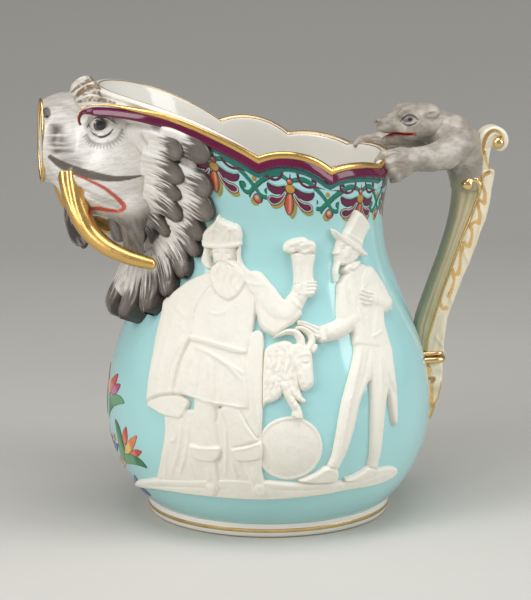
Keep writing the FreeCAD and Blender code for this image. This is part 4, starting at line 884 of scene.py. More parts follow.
def make_frieze():
    for name, rows in FRIEZE.items():
        p = np.concatenate([np.asarray(r[3]) for r in rows if r[0] != "line"])
        margin = 19.0 if name == "barrel" else 3.0
        step = 0.42
        u, z = np.meshgrid(np.arange(p[:, 0].min() - margin, p[:, 0].max() + margin, step),
                           np.arange(p[:, 1].min() - margin, p[:, 1].max() + margin, step), indexing="ij")
        outline, height = relief_field(rows, u, z)
        if name == "barrel":
            r = np.hypot(u - 10.9, z - 56.1)
            height += -0.55 * ramp(16.2 - r, 0.0, 0.9) + 0.25 * np.exp(-((r - 16.9) / 0.5) ** 2)
            height -= 0.18 * np.exp(-(((u - 10.9 + 60) % 5.2 - 2.6) / 0.22) ** 2) * (r < 15.6)
        if name == "goat":
            fleece = noise(u * 0.75 + 9, z * 0.38) + 0.6 * noise(u * 1.5, z * 0.8)
            height += 0.75 * (fleece - 0.8) * ramp(-outline, 0.2, 1.2) * ramp(height, 2.0, 2.9) * ramp(17.5 - u, 0, 3)
        if name == "beaker":
            height += 0.5 * (noise(u * 0.9, z * 0.9) - 0.5) * ramp(z, 155, 158)
        height += (0.16 * (noise(u * 0.55, z * 0.55) - 0.5) + 0.07 * (noise(u * 1.6 + 5, z * 1.6) - 0.5))
        px, pz, h, faces = relief_skin(outline, np.clip(height, 0.15, 5.4), u, z, -0.35)
        for side, sign in SIDES:
            phi, up = on_side(px, pz, sign)
            verts, _ = on_vessel(phi, up, h)
            piece("%s_relief_%s" % (name, side), verts, faces, BISQUE, ["%s_%s" % (name, side)])


# ---------------------------------------------------------------- sculpting and painting in mm

def picture(points):
    """Where points fall on the picture plane of the near three-quarter view, mm; the far side is mirrored."""
    azimuth, elevation = math.radians(-10.0), math.radians(12.1)
    right = np.array([math.cos(azimuth), math.sin(azimuth), 0.0])
    back = np.array([math.sin(azimuth) * math.cos(elevation), -math.cos(azimuth) * math.cos(elevation),
                     math.sin(elevation)])
    up = np.cross(right, -back)
    near = np.array(points, float)
    near[..., 1] = -np.abs(near[..., 1])
    target = np.array([0, 0, 117.7]) - right * 1.665
    away = near - (target + back * 1665.0)
    depth = -(away @ back)
    return (away @ right) / depth * 1665.0, (away @ up) / depth * 1665.0


def stroke(colour, paint, s, t, points, widths, strength=1.0, soft=0.5):
    """Brush stroke over a painting in the picture plane."""
    track = curve(points, 8 * len(points))
    radii = np.interp(np.linspace(0, 1, len(track)), np.linspace(0, 1, len(widths)), widths)
    d, _ = line_distance(s, t, track, radii)
    return mix(paint, colour, strength * (1 - ramp(d, -soft * 0.5, soft * 0.5)))


def ball(x, y, z, centre, radii):
    a, b, c = (x - centre[0]) / radii[0], (y - centre[1]) / radii[1], (z - centre[2]) / radii[2]
    k0 = np.sqrt(a * a + b * b + c * c)
    k1 = np.sqrt((a / radii[0]) ** 2 + (b / radii[1]) ** 2 + (c / radii[2]) ** 2)
    return k0 * (k0 - 1.0) / np.maximum(k1, 1e-6)


def rod(x, y, z, points, radii):
    """Distance to a chain of round limbs."""
    best = np.full(np.shape(x), 1e3)
    for (a, b, ra, rb) in zip(points[:-1], points[1:], radii[:-1], radii[1:]):
        dx, dy, dz = (b[k] - a[k] for k in range(3))
        t = np.clip(((x - a[0]) * dx + (y - a[1]) * dy + (z - a[2]) * dz) / (dx * dx + dy * dy + dz * dz), 0, 1)
        d = np.sqrt((x - a[0] - t * dx) ** 2 + (y - a[1] - t * dy) ** 2 + (z - a[2] - t * dz) ** 2)
        best = smin(best, d - (ra + (rb - ra) * t), 0.6)
    return best


def clay(low, high, step, field):
    """Sculpt of a field that is even in y, over a box given for y from nothing up."""
    axes = [np.arange(low[k], high[k], step) for k in (0, 2)]
    ys = np.arange(step / 2, high[1], step)
    x, y, z = np.meshgrid(axes[0], ys, axes[1], indexing="ij")
    half = field(x, y, z)
    whole = np.concatenate([half[:, ::-1], half], 1)
    return nets(whole, (low[0], -ys[-1], low[2]), step)


def outside_wall(x, y, z, depth):
    """Less than nothing beyond the wall's outside less a depth."""
    return radial(np.arctan2(y, x), z) - depth - np.hypot(x, y)


# ---------------------------------------------------------------- walrus

FUR_LIGHT, FUR_WARM, FUR_DARK, FUR_EDGE = srgb(238, 235, 229), srgb(186, 176, 163), srgb(92, 82, 73), srgb(62, 54, 49)
LIP_RED, INK = srgb(188, 70, 46), srgb(44, 38, 36)


def head_field(x, y, z):
    head = ball(x, y, z, (-80, 0, 206), (33, 39, 31))
    head = smin(head, ball(x, y, z, (-88, 22, 195), (22, 18, 22)), 9)
    t = ramp(x, -125, -101)
    wide, tall = 12.9 + 12.3 * t, 22.3 + 3.3 * t
    muzzle = (np.hypot(y / wide, (z - 210.5) / tall) - 1) * wide
    muzzle = smax(smax(muzzle, -125.0 - x, 1.6), x + 84, 3)
    head = smin(head, muzzle, 6)
    head = smin(head, ball(x, y, z, (-113, 12.5, 207), (11.5, 11.5, 17)), 4)
    head = smin(head, ball(x, y, z, (-110, 0, 228), (13, 13, 8)), 5)
    head = smin(head, ball(x, y, z, (-96, 0, 179), (16, 22, 9.5)), 5)
    head = smin(head, ball(x, y, z, (-107.0, 0, 190), (10.0, 17, 13)), 5)
    head = smin(head, rod(x, y, z, [(-99, 12, 181), (-92, 23, 181), (-82, 31, 178)], [8.0, 8.4, 9.0]), 5)
    head = smin(head, rod(x, y, z, [(-78, 32, 178), (-79.5, 32, 166), (-79, 31, 152)], [7.5, 6.4, 5.0]), 5)
    head = smax(head, -(rod(x, y, z, [(-118, 21, 190), (-103, 31, 187), (-87, 37, 180)], [1.6, 1.8, 1.2]) - 0.2), 2.2)
    head = smin(head, rod(x, y, z, [(-117, 18, 197), (-102, 29, 192), (-88, 35, 187)], [2.6, 3.2, 2.4]), 4)
    head = smax(head, -ball(x, y, z, (-97.5, 33, 224), (6.5, 6.0, 5.2)), 2.5)
    lid = rod(x, y, z, [(-104, 25.2, 222.2), (-101, 27.2, 226.6), (-96, 29, 228.4), (-90.6, 30.2, 225.6)],
              [0.9, 1.5, 1.5, 0.9])
    head = smin(head, lid, 1.6)
    lid = rod(x, y, z, [(-103.4, 26, 221.4), (-99.5, 28.6, 218.6), (-94.5, 30.2, 218.6), (-90.6, 30.6, 222)],
              [0.8, 1.2, 1.2, 0.8])
    head = smin(head, lid, 1.6)
    head = smax(head, -ball(x, y, z, (-125.3, 10.6, 227.6), (2.4, 1.5, 2.4)), 0.8)
    flow = 0.16 * (noise(x * 0.12, y * 0.5 + 3, z * 0.75 + x * 0.15) - 0.5)
    head = head + flow * ramp(x, -122, -108)
    head = smax(head, -np.minimum(bore_side(y, z) * 10.5, 40), 1.0)
    return smax(head, outside_wall(x, y, z, 2.6), 0.8)


def make_walrus():
    verts, faces = clay((-128, 0, 146), (-54, 46, 241), 0.6, head_field)
    s, t = picture(verts)
    x, y, z = verts.T
    front = ramp(-x, 96, 118)
    hairs = noise(s * 0.22 + 4, t * 1.9 - s * 0.35)
    fine = noise(s * 0.5 + 9, t * 3.4 - s * 0.5)
    paint = mix(FUR_LIGHT, FUR_WARM, 0.06 + 0.34 * ramp(hairs, 0.42, 0.75) * (0.4 + 0.6 * ramp(-s, 50, 88)))
    # Painted shade: the lower head, below the jaw line, turns warm beige.
    paint = mix(paint, FUR_WARM, 0.75 * ramp(-t, 4, -14) * ramp(-z, -186, -174))
    paint = mix(paint, srgb(160, 150, 142), 0.8 * ramp(-x, 90, 103) * ramp(z, 216, 230) * (0.75 + 0.25 * hairs))
    paint = mix(paint, srgb(232, 229, 221), 0.8 * np.exp(-(((s + 88) / 14) ** 2 + ((t - 92) / 9) ** 2)))
    paint = mix(paint, FUR_DARK, 0.08 * ramp(fine, 0.6, 0.8) * (1 - front))
    patch = area_distance(s, t, ((-120.2, 98.8), (-115.7, 99.3), (-111.3, 97.7), (-110.7, 93.2), (-108.5, 87.7), (-104.6, 82.1), (-99.6, 76.0), (-103.0, 72.7), (-111.8, 76.0), (-119.6, 79.9), (-120.7, 88.8)))
    brush = ramp(noise(s * 0.07 + 2, t * 0.7 + 1) + 0.3 * noise(s * 0.25, t * 1.8), 0.36, 0.72)
    paint = mix(paint, FUR_DARK, (1 - ramp(patch, -4.5, 2.5)) * (0.3 + 0.68 * brush) * (1 - 0.35 * ramp(s, -117.4, -108.5)))
    # Painted shade under the jaw: dark grey on the neck behind and below it.
    neck = ramp(-z, -180, -170) * ramp(x, -97, -88)
    paint = mix(paint, srgb(98, 93, 90), neck * (0.55 + 0.4 * noise(s * 0.9 + t * 0.3, t * 0.25)))
    for path, widths, colour, strength in (
            (((-119.6, 79.4), (-112.9, 74.9), (-103.0, 71.0), (-94.1, 68.8), (-85.2, 67.4), (-76.3, 67.7), (-66.9, 69.4)), (1.2, 2.3, 2.5, 2.3, 1.7, 1.2, 0.2), FUR_DARK, 0.95),
            (((-106.8, 69.9), (-98.5, 66.6), (-89.6, 62.2), (-82.4, 56.6), (-78.5, 52.2), (-80.2, 49.7), (-85.2, 49.4)), (0.3, 0.7, 1.0, 1.2, 1.3, 1.0, 0.8), LIP_RED, 0.95),
            (((-98.5, 50.2), (-93.0, 50.8), (-88.0, 50.0), (-83.0, 49.4)), (0.8, 1.2, 1.0, 0.8), LIP_RED, 0.95),
            (((-114.1, 56.6), (-111.8, 53.3), (-108.5, 50.5)), (0.3, 0.6, 0.5), LIP_RED, 0.9)):
        paint = stroke(colour, paint, s, t, path, widths, strength, 0.6)
    for path in (((-99.3, 95.5), (-96.8, 98.8), (-93.0, 101.2), (-88.0, 101.0), (-82.4, 97.7)), ((-97.4, 94.4), (-94.6, 91.6), (-90.7, 90.5), (-86.9, 92.1), (-84.4, 95.2))):
        paint = stroke(INK, paint, s, t, path, (0.2, 0.55, 0.68, 0.55, 0.2), 0.97, 0.35)
    eye = np.array([-91.3, 96.6])
    for foot in curve(((-99.1, 91.6), (-96.8, 88.2), (-92.4, 86.6), (-87.4, 86.9), (-82.4, 89.6), (-79.6, 94.4)), 17):
        ray = (foot - eye) / np.hypot(*(foot - eye))
        paint = stroke(FUR_DARK, paint, s, t, [foot, foot + ray * 2.8], (0.85, 0.2), 0.6, 0.9)
    spot = np.hypot((s - -121.5) / 2.3, (t - 103.9) / 3.0)
    paint = mix(paint, srgb(14, 12, 12), 1 - ramp(spot, 0.9, 1.15))
    within = bore_side(y, z) < 0.06
    paint = np.where((within & (x < -60))[:, None], srgb(236, 232, 222), paint)
    piece("walrus_face", verts, faces, HAIR,
          ["walrus_head", "walrus_muzzle", "lower_jaw"], paint)
    make_eyes()
    make_mouth_ring()
    make_chin_tuft()
    for side, sign in SIDES:
        make_tusk(side, sign)


def make_eyes():
    a, b = np.meshgrid(np.linspace(0.02, math.pi - 0.02, 46), np.linspace(0, 2 * math.pi, 73)[:-1], indexing="ij")
    look = np.array([0.14, 0.98, -0.10])
    look /= np.linalg.norm(look)
    one = np.cross(look, (0, 0, 1))
    one /= np.linalg.norm(one)
    two = np.cross(one, look)
    for side, sign in SIDES:
        bulge = 5.0 + 0.35 * np.exp(-(a / 0.55) ** 2)
        verts = (np.array([-96.9, 25.6, 223.2]) + bulge[..., None] * (
            np.cos(a)[..., None] * look + np.sin(a)[..., None] * (np.cos(b)[..., None] * one + np.sin(b)[..., None] * two)))
        verts[..., 1] *= sign
        turn = a.ravel()
        paint = mix(srgb(226, 222, 212), srgb(34, 31, 31), 1 - ramp(turn, 0.76, 0.82))
        paint = mix(paint, srgb(88, 84, 80), (1 - ramp(np.abs(turn - 0.60), 0.11, 0.17)) * 0.8)
        piece("walrus_eye_" + side, verts.reshape(-1, 3), grid_faces(*a.shape, closed=True), EYE,
              ["eye_" + side], paint)


def make_mouth_ring():
    a = np.linspace(0, 2 * math.pi, 181)[:-1]
    turn = np.linspace(0, 2 * math.pi, 15)[:-1]
    path = np.stack([np.full(a.shape, -125.0), 12.0 * np.cos(a), 210.5 + 22.0 * np.sin(a)], -1)
    out = np.stack([0 * a, np.cos(a) / 12.0, np.sin(a) / 22.0], -1)
    out /= np.linalg.norm(out, axis=1, keepdims=True)
    verts = path[:, None] + out[:, None] * (1.35 * np.cos(turn))[None, :, None] + np.array([1.0, 0, 0]) * (
        0.95 * np.sin(turn))[None, :, None]
    verts = np.concatenate([verts, verts[:1]])
    piece("mouth_ring", verts.reshape(-1, 3), grid_faces(len(verts), len(turn), closed=True), GOLD,
          ["mouth_lip"])


def tuft_field(x, y, z):
    lean = (z - 165) * -0.12
    shape = ball(x + 106.5 - lean, y, z, (0, 0, 166), (6.2, 7.6, 14.5))
    shape = smin(shape, ball(x, y, z, (-103.0, 4.0, 162), (4.0, 4.4, 11)), 2)
    return shape + 0.5 * (noise(x * 0.45 + y * 0.4, z * 0.10 + 3, y * 0.5) - 0.5)


def make_chin_tuft():
    verts, faces = clay((-116, 0, 149), (-95, 12, 183), 0.5, tuft_field)
    x, y, z = verts.T
    grain = noise(x * 0.9 + y * 0.8, z * 0.16, y * 0.9)
    paint = mix(srgb(108, 100, 94), FUR_EDGE, ramp(grain, 0.40, 0.66))
    paint = mix(paint, srgb(150, 144, 138), 0.6 * ramp(grain, 0.42, 0.30))
    piece("chin_hair", verts, faces, HAIR, ["chin_tuft"], paint)


TUSK = ((-110.9, 18.6, 197.2), (-110.8, 21.5, 190), (-108.6, 26, 178), (-103.6, 31.5, 167), (-95.5, 38, 159), (-85, 44, 154),
        (-76, 48, 151.5), (-69.5, 50.5, 150.2))


def make_tusk(side, sign):
    path = curve(TUSK, 150) * (1, sign, 1)
    share = np.linspace(0, 1, len(path))
    girth = np.interp(share, (0, 0.25, 0.5, 0.75, 1), (7.5, 6.4, 5.0, 3.9, 2.8))
    girth *= np.sqrt(np.clip((1 - share) / 0.035, 0.0004, 1) * np.clip(0.25 + share / 0.04, 0, 1))
    turn = np.linspace(0, 2 * math.pi, 49)[:-1]
    tangent = np.gradient(path, axis=0)
    tangent /= np.linalg.norm(tangent, axis=1, keepdims=True)
    out = np.array([-0.25, sign * 0.95, 0.2]) - tangent * (tangent @ np.array([-0.25, sign * 0.95, 0.2]))[:, None]
    out /= np.linalg.norm(out, axis=1, keepdims=True)
    over = np.cross(tangent, out)
    rings = np.ones((len(path), len(turn)))
    gap = np.angle(np.exp(1j * (turn - 0.25)))
    groove = 0.24 * ramp(-share, -0.55, -0.08)
    rings -= groove[:, None] * np.exp(-(gap / 0.34) ** 2)[None]
    radius = girth[:, None] * rings
    verts = path[:, None] + out[:, None] * (radius * np.cos(turn))[..., None] * 1.06 + over[:, None] * (
        radius * np.sin(turn))[..., None]
    behind = ramp((verts - path[:, None])[..., 0], -2, 6)
    verts[..., 2] -= 9.0 * behind * ramp(-share, -0.20, 0.0)[:, None]
    piece("gilt_tusk_" + side, verts.reshape(-1, 3), grid_faces(len(path), len(turn), closed=True), SATIN_GOLD,
          ["tusk_" + side])


# ---------------------------------------------------------------- mane

# Locks: root and tip as (degrees round from the front, height), height of the hair there, width.
INNER_LOCKS = (
    ((31, 217.5, 7), (46.5, 212, 8.5), 12.5), ((26, 208, 10), (45.5, 198, 8.5), 13.5), ((25, 198, 10), (43.0, 188, 8.5), 11),
    ((22, 191, 11), (41.0, 176, 9), 14.5), ((14, 183, 11), (31.5, 163, 9.5), 13), ((7, 180, 11), (22, 155, 9.5), 12.5),
    ((1, 176, 11), (10, 150, 10), 12))
OUTER_LOCKS = (
    ((34, 219, 6), (56.0, 209, 5), 13.5), ((36, 201, 6.5), (55.2, 190, 5.5), 14), ((33, 192, 6.5), (54.6, 176, 5.5), 15.5),
    ((29, 181, 7), (48.5, 163, 6), 13.5), ((25, 172, 7.5), (46.5, 153.5, 6), 11.5), ((20, 166, 8), (41.0, 141, 6.5), 14.5))
FRINGE_LOCKS = (
    ((14, 160, 9), (34.5, 129.5, 7.5), 14), ((10, 155, 10), (26.5, 118.5, 10), 15), ((6, 152, 11), (15, 111.5, 13), 15.5))
PER_DEGREE = 1.22


def lock(root, tip, width, sign, seed, centred=False):
    """One pointed, grooved lock laid on the neck: points, faces and paint."""
    a0, z0, h0 = root
    a1, z1, h1 = tip
    s = np.linspace(0, 1, 44)[:, None]
    across = np.linspace(-1, 1, 27)
    c = np.r_[-1.0, -1.0, across, 1.0, 1.0][None]
    start, end = np.array([a0 * PER_DEGREE, z0]), np.array([a1 * PER_DEGREE, z1])
    along = end - start
    side = np.array([-along[1], along[0]]) / np.hypot(*along)
    bend = 0.08 * np.sin(math.pi * s) * (0 if centred else 1)
    taper = np.where(s < 0.66, 1.14 - 0.14 * ramp(s, 0.1, 0.6), np.sqrt(np.clip(1 - ((s - 0.66) / 0.342) ** 2, 0, 1)))
    half = width / 2 * taper * (1 + 0.05 * np.sin(9 * s + seed))
    flat_a = start[0] + along[0] * s + side[0] * (half * c + bend * np.hypot(*along))
    flat_z = start[1] + along[1] * s + side[1] * (half * c + bend * np.hypot(*along))
    thick = 3.6 * (0.7 + 0.3 * np.sin(math.pi * np.clip(s * 1.1, 0, 1)))
    crown = np.sqrt(np.clip(1 - c ** 2, 0, 1))
    strands = noise(c * 3.6 + seed * 3.1, s * 1.3 + seed) - 0.5
    grooves = -np.abs(np.sin(c * 7.5 + 1.3 * np.sin(3 * s + seed))) ** 3
    height = h0 + (h1 - h0) * s - thick * (1 - crown) * (0.10 + 0.90 * ramp(s, 0.34, 0.74)) - 1.6 * ramp(s, 0.86, 1.0) * thick / 3.6
    height = height - 6.5 * ramp(-s, -0.20, 0.0)
    if centred:
        height = height - 7.0 * (1 - np.sqrt(1 - np.clip((s - 0.68) / 0.325, 0, 0.999) ** 2))
    height = height + (0.5 * strands + 0.26 * grooves) * crown * ramp(s, 0.05, 0.3)
    drop = np.zeros(c.shape)
    drop[0, :2], drop[0, -2:] = (30.0, 2.6), (2.6, 30.0)
    height = np.maximum(height - drop, -0.8)
    phi = math.radians(180.0) - np.radians(flat_a / PER_DEGREE)
    verts, _ = on_vessel(phi * sign, flat_z, height)
    n1 = noise(c * 13.0 + seed * 5.3, s * 1.4 + seed * 1.7)
    n2 = noise(c * 5.0 + seed * 2.3 + 9, s * 1.6 + 4)
    late = 0.10 * ramp(np.hypot(*along), 34, 46)
    dark = ramp(s + 0.50 * (n1 - 0.5), 0.50 + late, 0.64 + late)
    paint = mix(FUR_LIGHT, FUR_WARM, 0.05 + 0.35 * ramp(n2, 0.45, 0.8))
    paint = mix(paint, FUR_DARK, dark * 0.95)
    paint = mix(paint, srgb(140, 134, 129), 0.62 * ramp(s, 0.66, 0.78) * ramp(-s, -0.97, -0.86)
                * np.clip(1.1 - np.abs(c) * 1.6, 0, 1) * (0.35 + 0.65 * ((seed * 7) % 3 > 0)))
    rim = np.maximum(ramp(np.abs(c), 0.80, 0.97) * ramp(s, 0.46, 0.62), ramp(s, 0.94, 0.99))
    paint = mix(paint, FUR_EDGE, rim * 0.9)
    return verts.reshape(-1, 3), grid_faces(*height.shape), paint.reshape(-1, 3)


def join(parts):
    verts, faces, paint, base = [], [], [], 0
    for v, f, p in parts:
        verts.append(v)
        faces.append(f + base)
        paint.append(p)
        base += len(v)
    return np.concatenate(verts), np.concatenate(faces), np.concatenate(paint)


def ruff(sign):
    """Short hair under the locks, from the jaw down over the front of the neck."""
    a, z = np.meshgrid(np.arange(-1.0, 56.0, 0.6), np.arange(118.0, 226.0, 0.7), indexing="ij")
    edge = area_distance(a * PER_DEGREE, z, rounded([(v * PER_DEGREE, w) for v, w in (
        (-6, 212), (24, 226), (46, 220), (50, 205), (49, 180), (42, 160), (34, 142), (24, 128), (10, 120), (-6, 119))]))
    height = (3.0 + 5.6 * ramp(-a, -34, -8) * ramp(-z, -170, -140) + 3.2 * ramp(-z, -150, -120) * ramp(-a, -22, -4)
              + 2.8 * ramp(-a, -40, -20))
    height = height * swell(-edge / 6.0) + 0.6 * (noise(a * 0.5 - z * 0.1, z * 0.12) - 0.5)
    px, pz, h, faces = relief_skin(edge, height, a * PER_DEGREE, z, -0.6)
    phi = (math.radians(180.0) - np.radians(px / PER_DEGREE)) * sign
    verts, _ = on_vessel(phi, pz, h)
    grain = noise(px * 0.7 + pz * 0.25, pz * 0.10 - px * 0.05)
    return verts, faces, mix(FUR_LIGHT, FUR_WARM, 0.2 + 0.6 * ramp(grain, 0.45, 0.75))


def make_mane():
    fringe = []
    for side, sign in SIDES:
        inner = [lock(*row, sign, k + 1) for k, row in enumerate(INNER_LOCKS)]
        verts, faces, paint = join(inner)
        piece("mane_inner_hair_" + side, verts, faces, HAIR, ["mane_inner_" + side], paint)
        outer = [lock(*row, sign, k + 12) for k, row in enumerate(OUTER_LOCKS)]
        verts, faces, paint = join(outer)
        piece("mane_outer_hair_" + side, verts, faces, HAIR, ["mane_outer_" + side], paint)
        fringe.append(ruff(sign))
        fringe += [lock(*row, sign, k + 23) for k, row in enumerate(FRINGE_LOCKS)]
    fringe.append(lock((0, 150, 12), (0, 109.5, 17.0), 15, 1, 31, True))
    verts, faces, paint = join(fringe)
    piece("throat_hair", verts, faces, HAIR, ["throat_fringe"], paint)
    make_forelock()


def forelock_field(x, y, z):
    body = ball(x, y, z, (-100.0, 0, 235.5), (9.0, 20.5, 8.2))
    body = smin(body, ball(x, y, z, (-97.5, 3, 237.6), (8.0, 14, 5.4)), 2)
    shelf = rod(x, y, z, [(-101, 15, 232.3), (-93, 28, 232.6), (-84, 36.5, 231.6), (-75, 43, 229.6), (-66, 47.5, 226.6)],
                [4.6, 4.6, 4.2, 3.8, 2.6])
    body = smin(body, shelf, 4)
    body = smin(body, rod(x, y, z, [(-99, 6, 238.6), (-90, 10, 239.6), (-82, 16, 239.0)], [5.0, 4.4, 3.0]), 3)
    curl = 0.9 * (noise(x * 0.28 + y * 0.16 + 4, y * 0.30 - x * 0.10, z * 0.2) - 0.5)
    body = body + curl * ramp(-x, 88, 96)
    return smax(body, outside_wall(x, y, z, 2.0), 0.8)


def make_forelock():
    verts, faces = clay((-116, 0, 218), (-58, 58, 247), 0.55, forelock_field)
    s, t = picture(verts)
    wisp = noise(s * 0.5 + 3, t * 1.2 - s * 0.3)
    paint = mix(srgb(228, 224, 214), srgb(196, 190, 178), 0.5 * ramp(wisp, 0.5, 0.8))
    rust = srgb(112, 82, 46)
    for path, widths, strength in (
            (((-106.3, 111.0), (-103.0, 114.9), (-98.5, 117.7), (-93.5, 118.2), (-89.6, 116.6)), (0.4, 1.4, 1.7, 1.3, 0.6), 0.9),
            (((-107.4, 115.4), (-103.5, 118.8), (-98.5, 121.5), (-94.1, 122.1)), (0.4, 1.0, 1.2, 0.5), 0.85),
            (((-101.3, 113.8), (-96.8, 115.4), (-91.9, 114.9), (-87.4, 112.7)), (0.4, 1.1, 1.3, 0.5), 0.85),
            (((-96.8, 123.2), (-94.1, 120.4), (-91.3, 118.2), (-88.5, 115.4)), (0.5, 1.0, 0.9, 0.4), 0.85),
            (((-92.4, 123.8), (-91.3, 121.0), (-89.6, 117.7)), (0.4, 0.9, 0.4), 0.8),
            (((-87.4, 124.0), (-89.4, 122.1), (-90.2, 118.8), (-89.1, 115.4)), (0.8, 2.0, 1.8, 0.8), 0.92),
            (((-89.1, 116.0), (-85.2, 113.8), (-81.3, 111.6), (-76.9, 109.9)), (0.9, 1.3, 1.0, 0.3), 0.9),
            (((-87.4, 116.6), (-80.8, 113.8), (-73.5, 110.4), (-64.1, 104.9)), (0.5, 0.45, 0.45, 0.3), 0.85),
            (((-104.1, 109.9), (-97.4, 111.6), (-90.7, 111.0), (-83.5, 109.3)), (0.6, 1.6, 1.4, 0.5), 0.88)):
        worn = strength * (0.55 + 0.45 * ramp(noise(s * 0.8, t * 0.8), 0.3, 0.5))
        track = curve(path, 8 * len(path))
        radii = np.interp(np.linspace(0, 1, len(track)), np.linspace(0, 1, len(widths)), widths)
        d, _ = line_distance(s, t, track, radii)
        paint = mix(paint, rust, worn * (1 - ramp(d, -0.3, 0.4)))
    piece("forelock_hair", verts, faces, HAIR, ["forelock"], paint)


# ---------------------------------------------------------------- bear

FUR_GREY, FUR_PALE, FUR_SHADE = srgb(160, 151, 139), srgb(192, 183, 172), srgb(104, 98, 88)
PAW_ENDS = (((68, 26.5, 202.5), (58.5, 28.2, 201.6), (54.8, 28.4, 199.0)), ((68.5, 28.5, 199.5), (60.2, 31.0, 197.4), (57.2, 31.2, 194.8)),
            ((69, 29.5, 196.2), (62.2, 32.0, 193.2), (59.6, 32.0, 190.8)), ((70.5, 29.5, 193.2), (65.0, 31.4, 190.2), (62.8, 31.0, 188.4)))


def bear_head_field(x, y, z):
    head = ball(x, y, z, (82.5, 0, 216.2), (13.6, 11.6, 9.6))
    head = smin(head, ball(x, y, z, (90, 0, 214.5), (10, 11.4, 9.6)), 5)
    head = smin(head, rod(x, y, z, [(76, 0, 214.4), (68, 0, 214.4), (63.6, 0, 214.4)], [7.4, 5.2, 4.0]), 4)
    head = smin(head, ball(x, y, z, (61.4, 0, 216.2), (2.4, 3.4, 2.3)), 1.0)
    head = smin(head, ball(x, y, z, (66.4, 3.2, 212.4), (5.2, 2.9, 2.7)), 1.4)
    head = smin(head, ball(x, y, z, (80, 7.6, 211.4), (7.5, 4.6, 5.0)), 3)
    head = smin(head, rod(x, y, z, [(80, 5.5, 224.2), (74.5, 6.8, 222.8), (72.0, 6.8, 220.8)], [1.6, 1.8, 1.2]), 2.4)
    jaw = rod(x, y, z, [(84, 0, 206.6), (73, 0, 206.2), (66.4, 0, 205.6)], [5.0, 3.9, 2.7])
    jaw = smin(jaw, ball(x, y, z, (65.6, 0, 204.9), (2.6, 2.8, 2.1)), 1.2)
    head = smin(head, jaw, 0.9)
    gap = np.abs(z - 209.6 - 0.055 * (x - 66)) - 0.45 * ramp(-x, -81, -75)
    head = smax(head, -smax(gap, x - 79.5, 0.6), 0.7)
    head = smax(head, -(rod(x, y, z, [(60.3, 2.1, 216.0), (58.0, 2.6, 215.6)], [0.75, 0.9])), 0.4)
    head = smax(head, -ball(x, y, z, (75.6, 12.4, 219.0), (3.8, 2.6, 2.4)), 1.2)
    head = smin(head, ball(x, y, z, (75.7, 9.2, 218.9), (2.6, 1.9, 1.9)), 0.5)
    ear = ball(x - (z - 221) * 0.35, y, z, (89.4, 10.6, 221.0), (4.8, 2.1, 2.8))
    ear = smax(ear, -ball(x - (z - 221) * 0.35, y, z, (88.6, 13.4, 221.4), (3.4, 2.0, 1.9)), 0.6)
    head = smin(head, ear, 0.9)
    return head + 0.28 * (noise(x * 0.5 - z * 0.2, y * 0.45, z * 0.6) - 0.5)


def bear_body_field(x, y, z):
    body = rod(x, y, z, [(86, 0, 213.6), (96, 0, 211.4), (103.5, 0, 207.8), (108.6, 0, 202.0), (110.6, 0, 194), (111.4, 0, 187),
                         (112.2, 0, 181)], [9.8, 10.4, 11.2, 11.6, 11.0, 10.0, 9.4])
    body = smax(body, np.abs(y) - 12.5 + 3.6 * ramp(-z, -196, -182), 3)
    body = smin(body, ball(x, y, z, (103, 10, 205), (11, 7.5, 11)), 4)
    hollow = ball(x, y, z, (97, 17, 212.5), (4.5, 3, 9))
    body = smax(body, -hollow, 3)
    return body + 0.4 * (noise(x * 0.35 + z * 0.15, y * 0.4, z * 0.3 - x * 0.1) - 0.5)


def bear_arm_field(x, y, z):
    arm = rod(x, y, z, [(103, 10, 203.5), (96, 15.5, 199.4), (86, 21, 198.2), (77, 25, 198.6), (71, 27, 198.4)],
              [9.6, 8.6, 7.3, 6.7, 6.3])
    arm = smin(arm, ball(x, y, z, (68.5, 27.6, 197.6), (7.6, 6.2, 7.6)), 3)
    toes = None
    for path in PAW_ENDS:
        toe = rod(x, y, z, path, [3.2, 2.9, 1.7])
        toes = toe if toes is None else smin(toes, toe, 0.7)
    arm = smin(arm, toes, 1.6)
    arm = arm + 0.35 * (noise(x * 0.4, y * 0.4, z * 0.4 + x * 0.1) - 0.5)
    arm = smax(arm, -(rod(x, y, z, [(88, 27, 203), (78, 32, 202.6), (70, 34, 201)], [0.4, 0.6, 0.3])), 1.2)
    inner = np.hypot(x, y) - (radial(np.arctan2(y, x), z) - WALL - 2.5)
    return smax(arm, -inner, 0.8)


def grey_fur(verts, low_fade=False):
    """Brushed grey glaze, patchy paler tones and fine darker flecks."""
    s, t = picture(verts)
    x, y, z = verts.T
    patchy = noise(s * 0.16 + 2, t * 0.20 + s * 0.05, y * 0.12)
    fine = noise(s * 0.5 + t * 0.4, t * 0.9 - s * 0.3, y * 0.5)
    paint = mix(FUR_GREY, FUR_PALE, 0.9 * ramp(patchy, 0.42, 0.72))
    paint = mix(paint, FUR_SHADE, 0.28 * ramp(fine, 0.5, 0.85))
    return paint, s, t


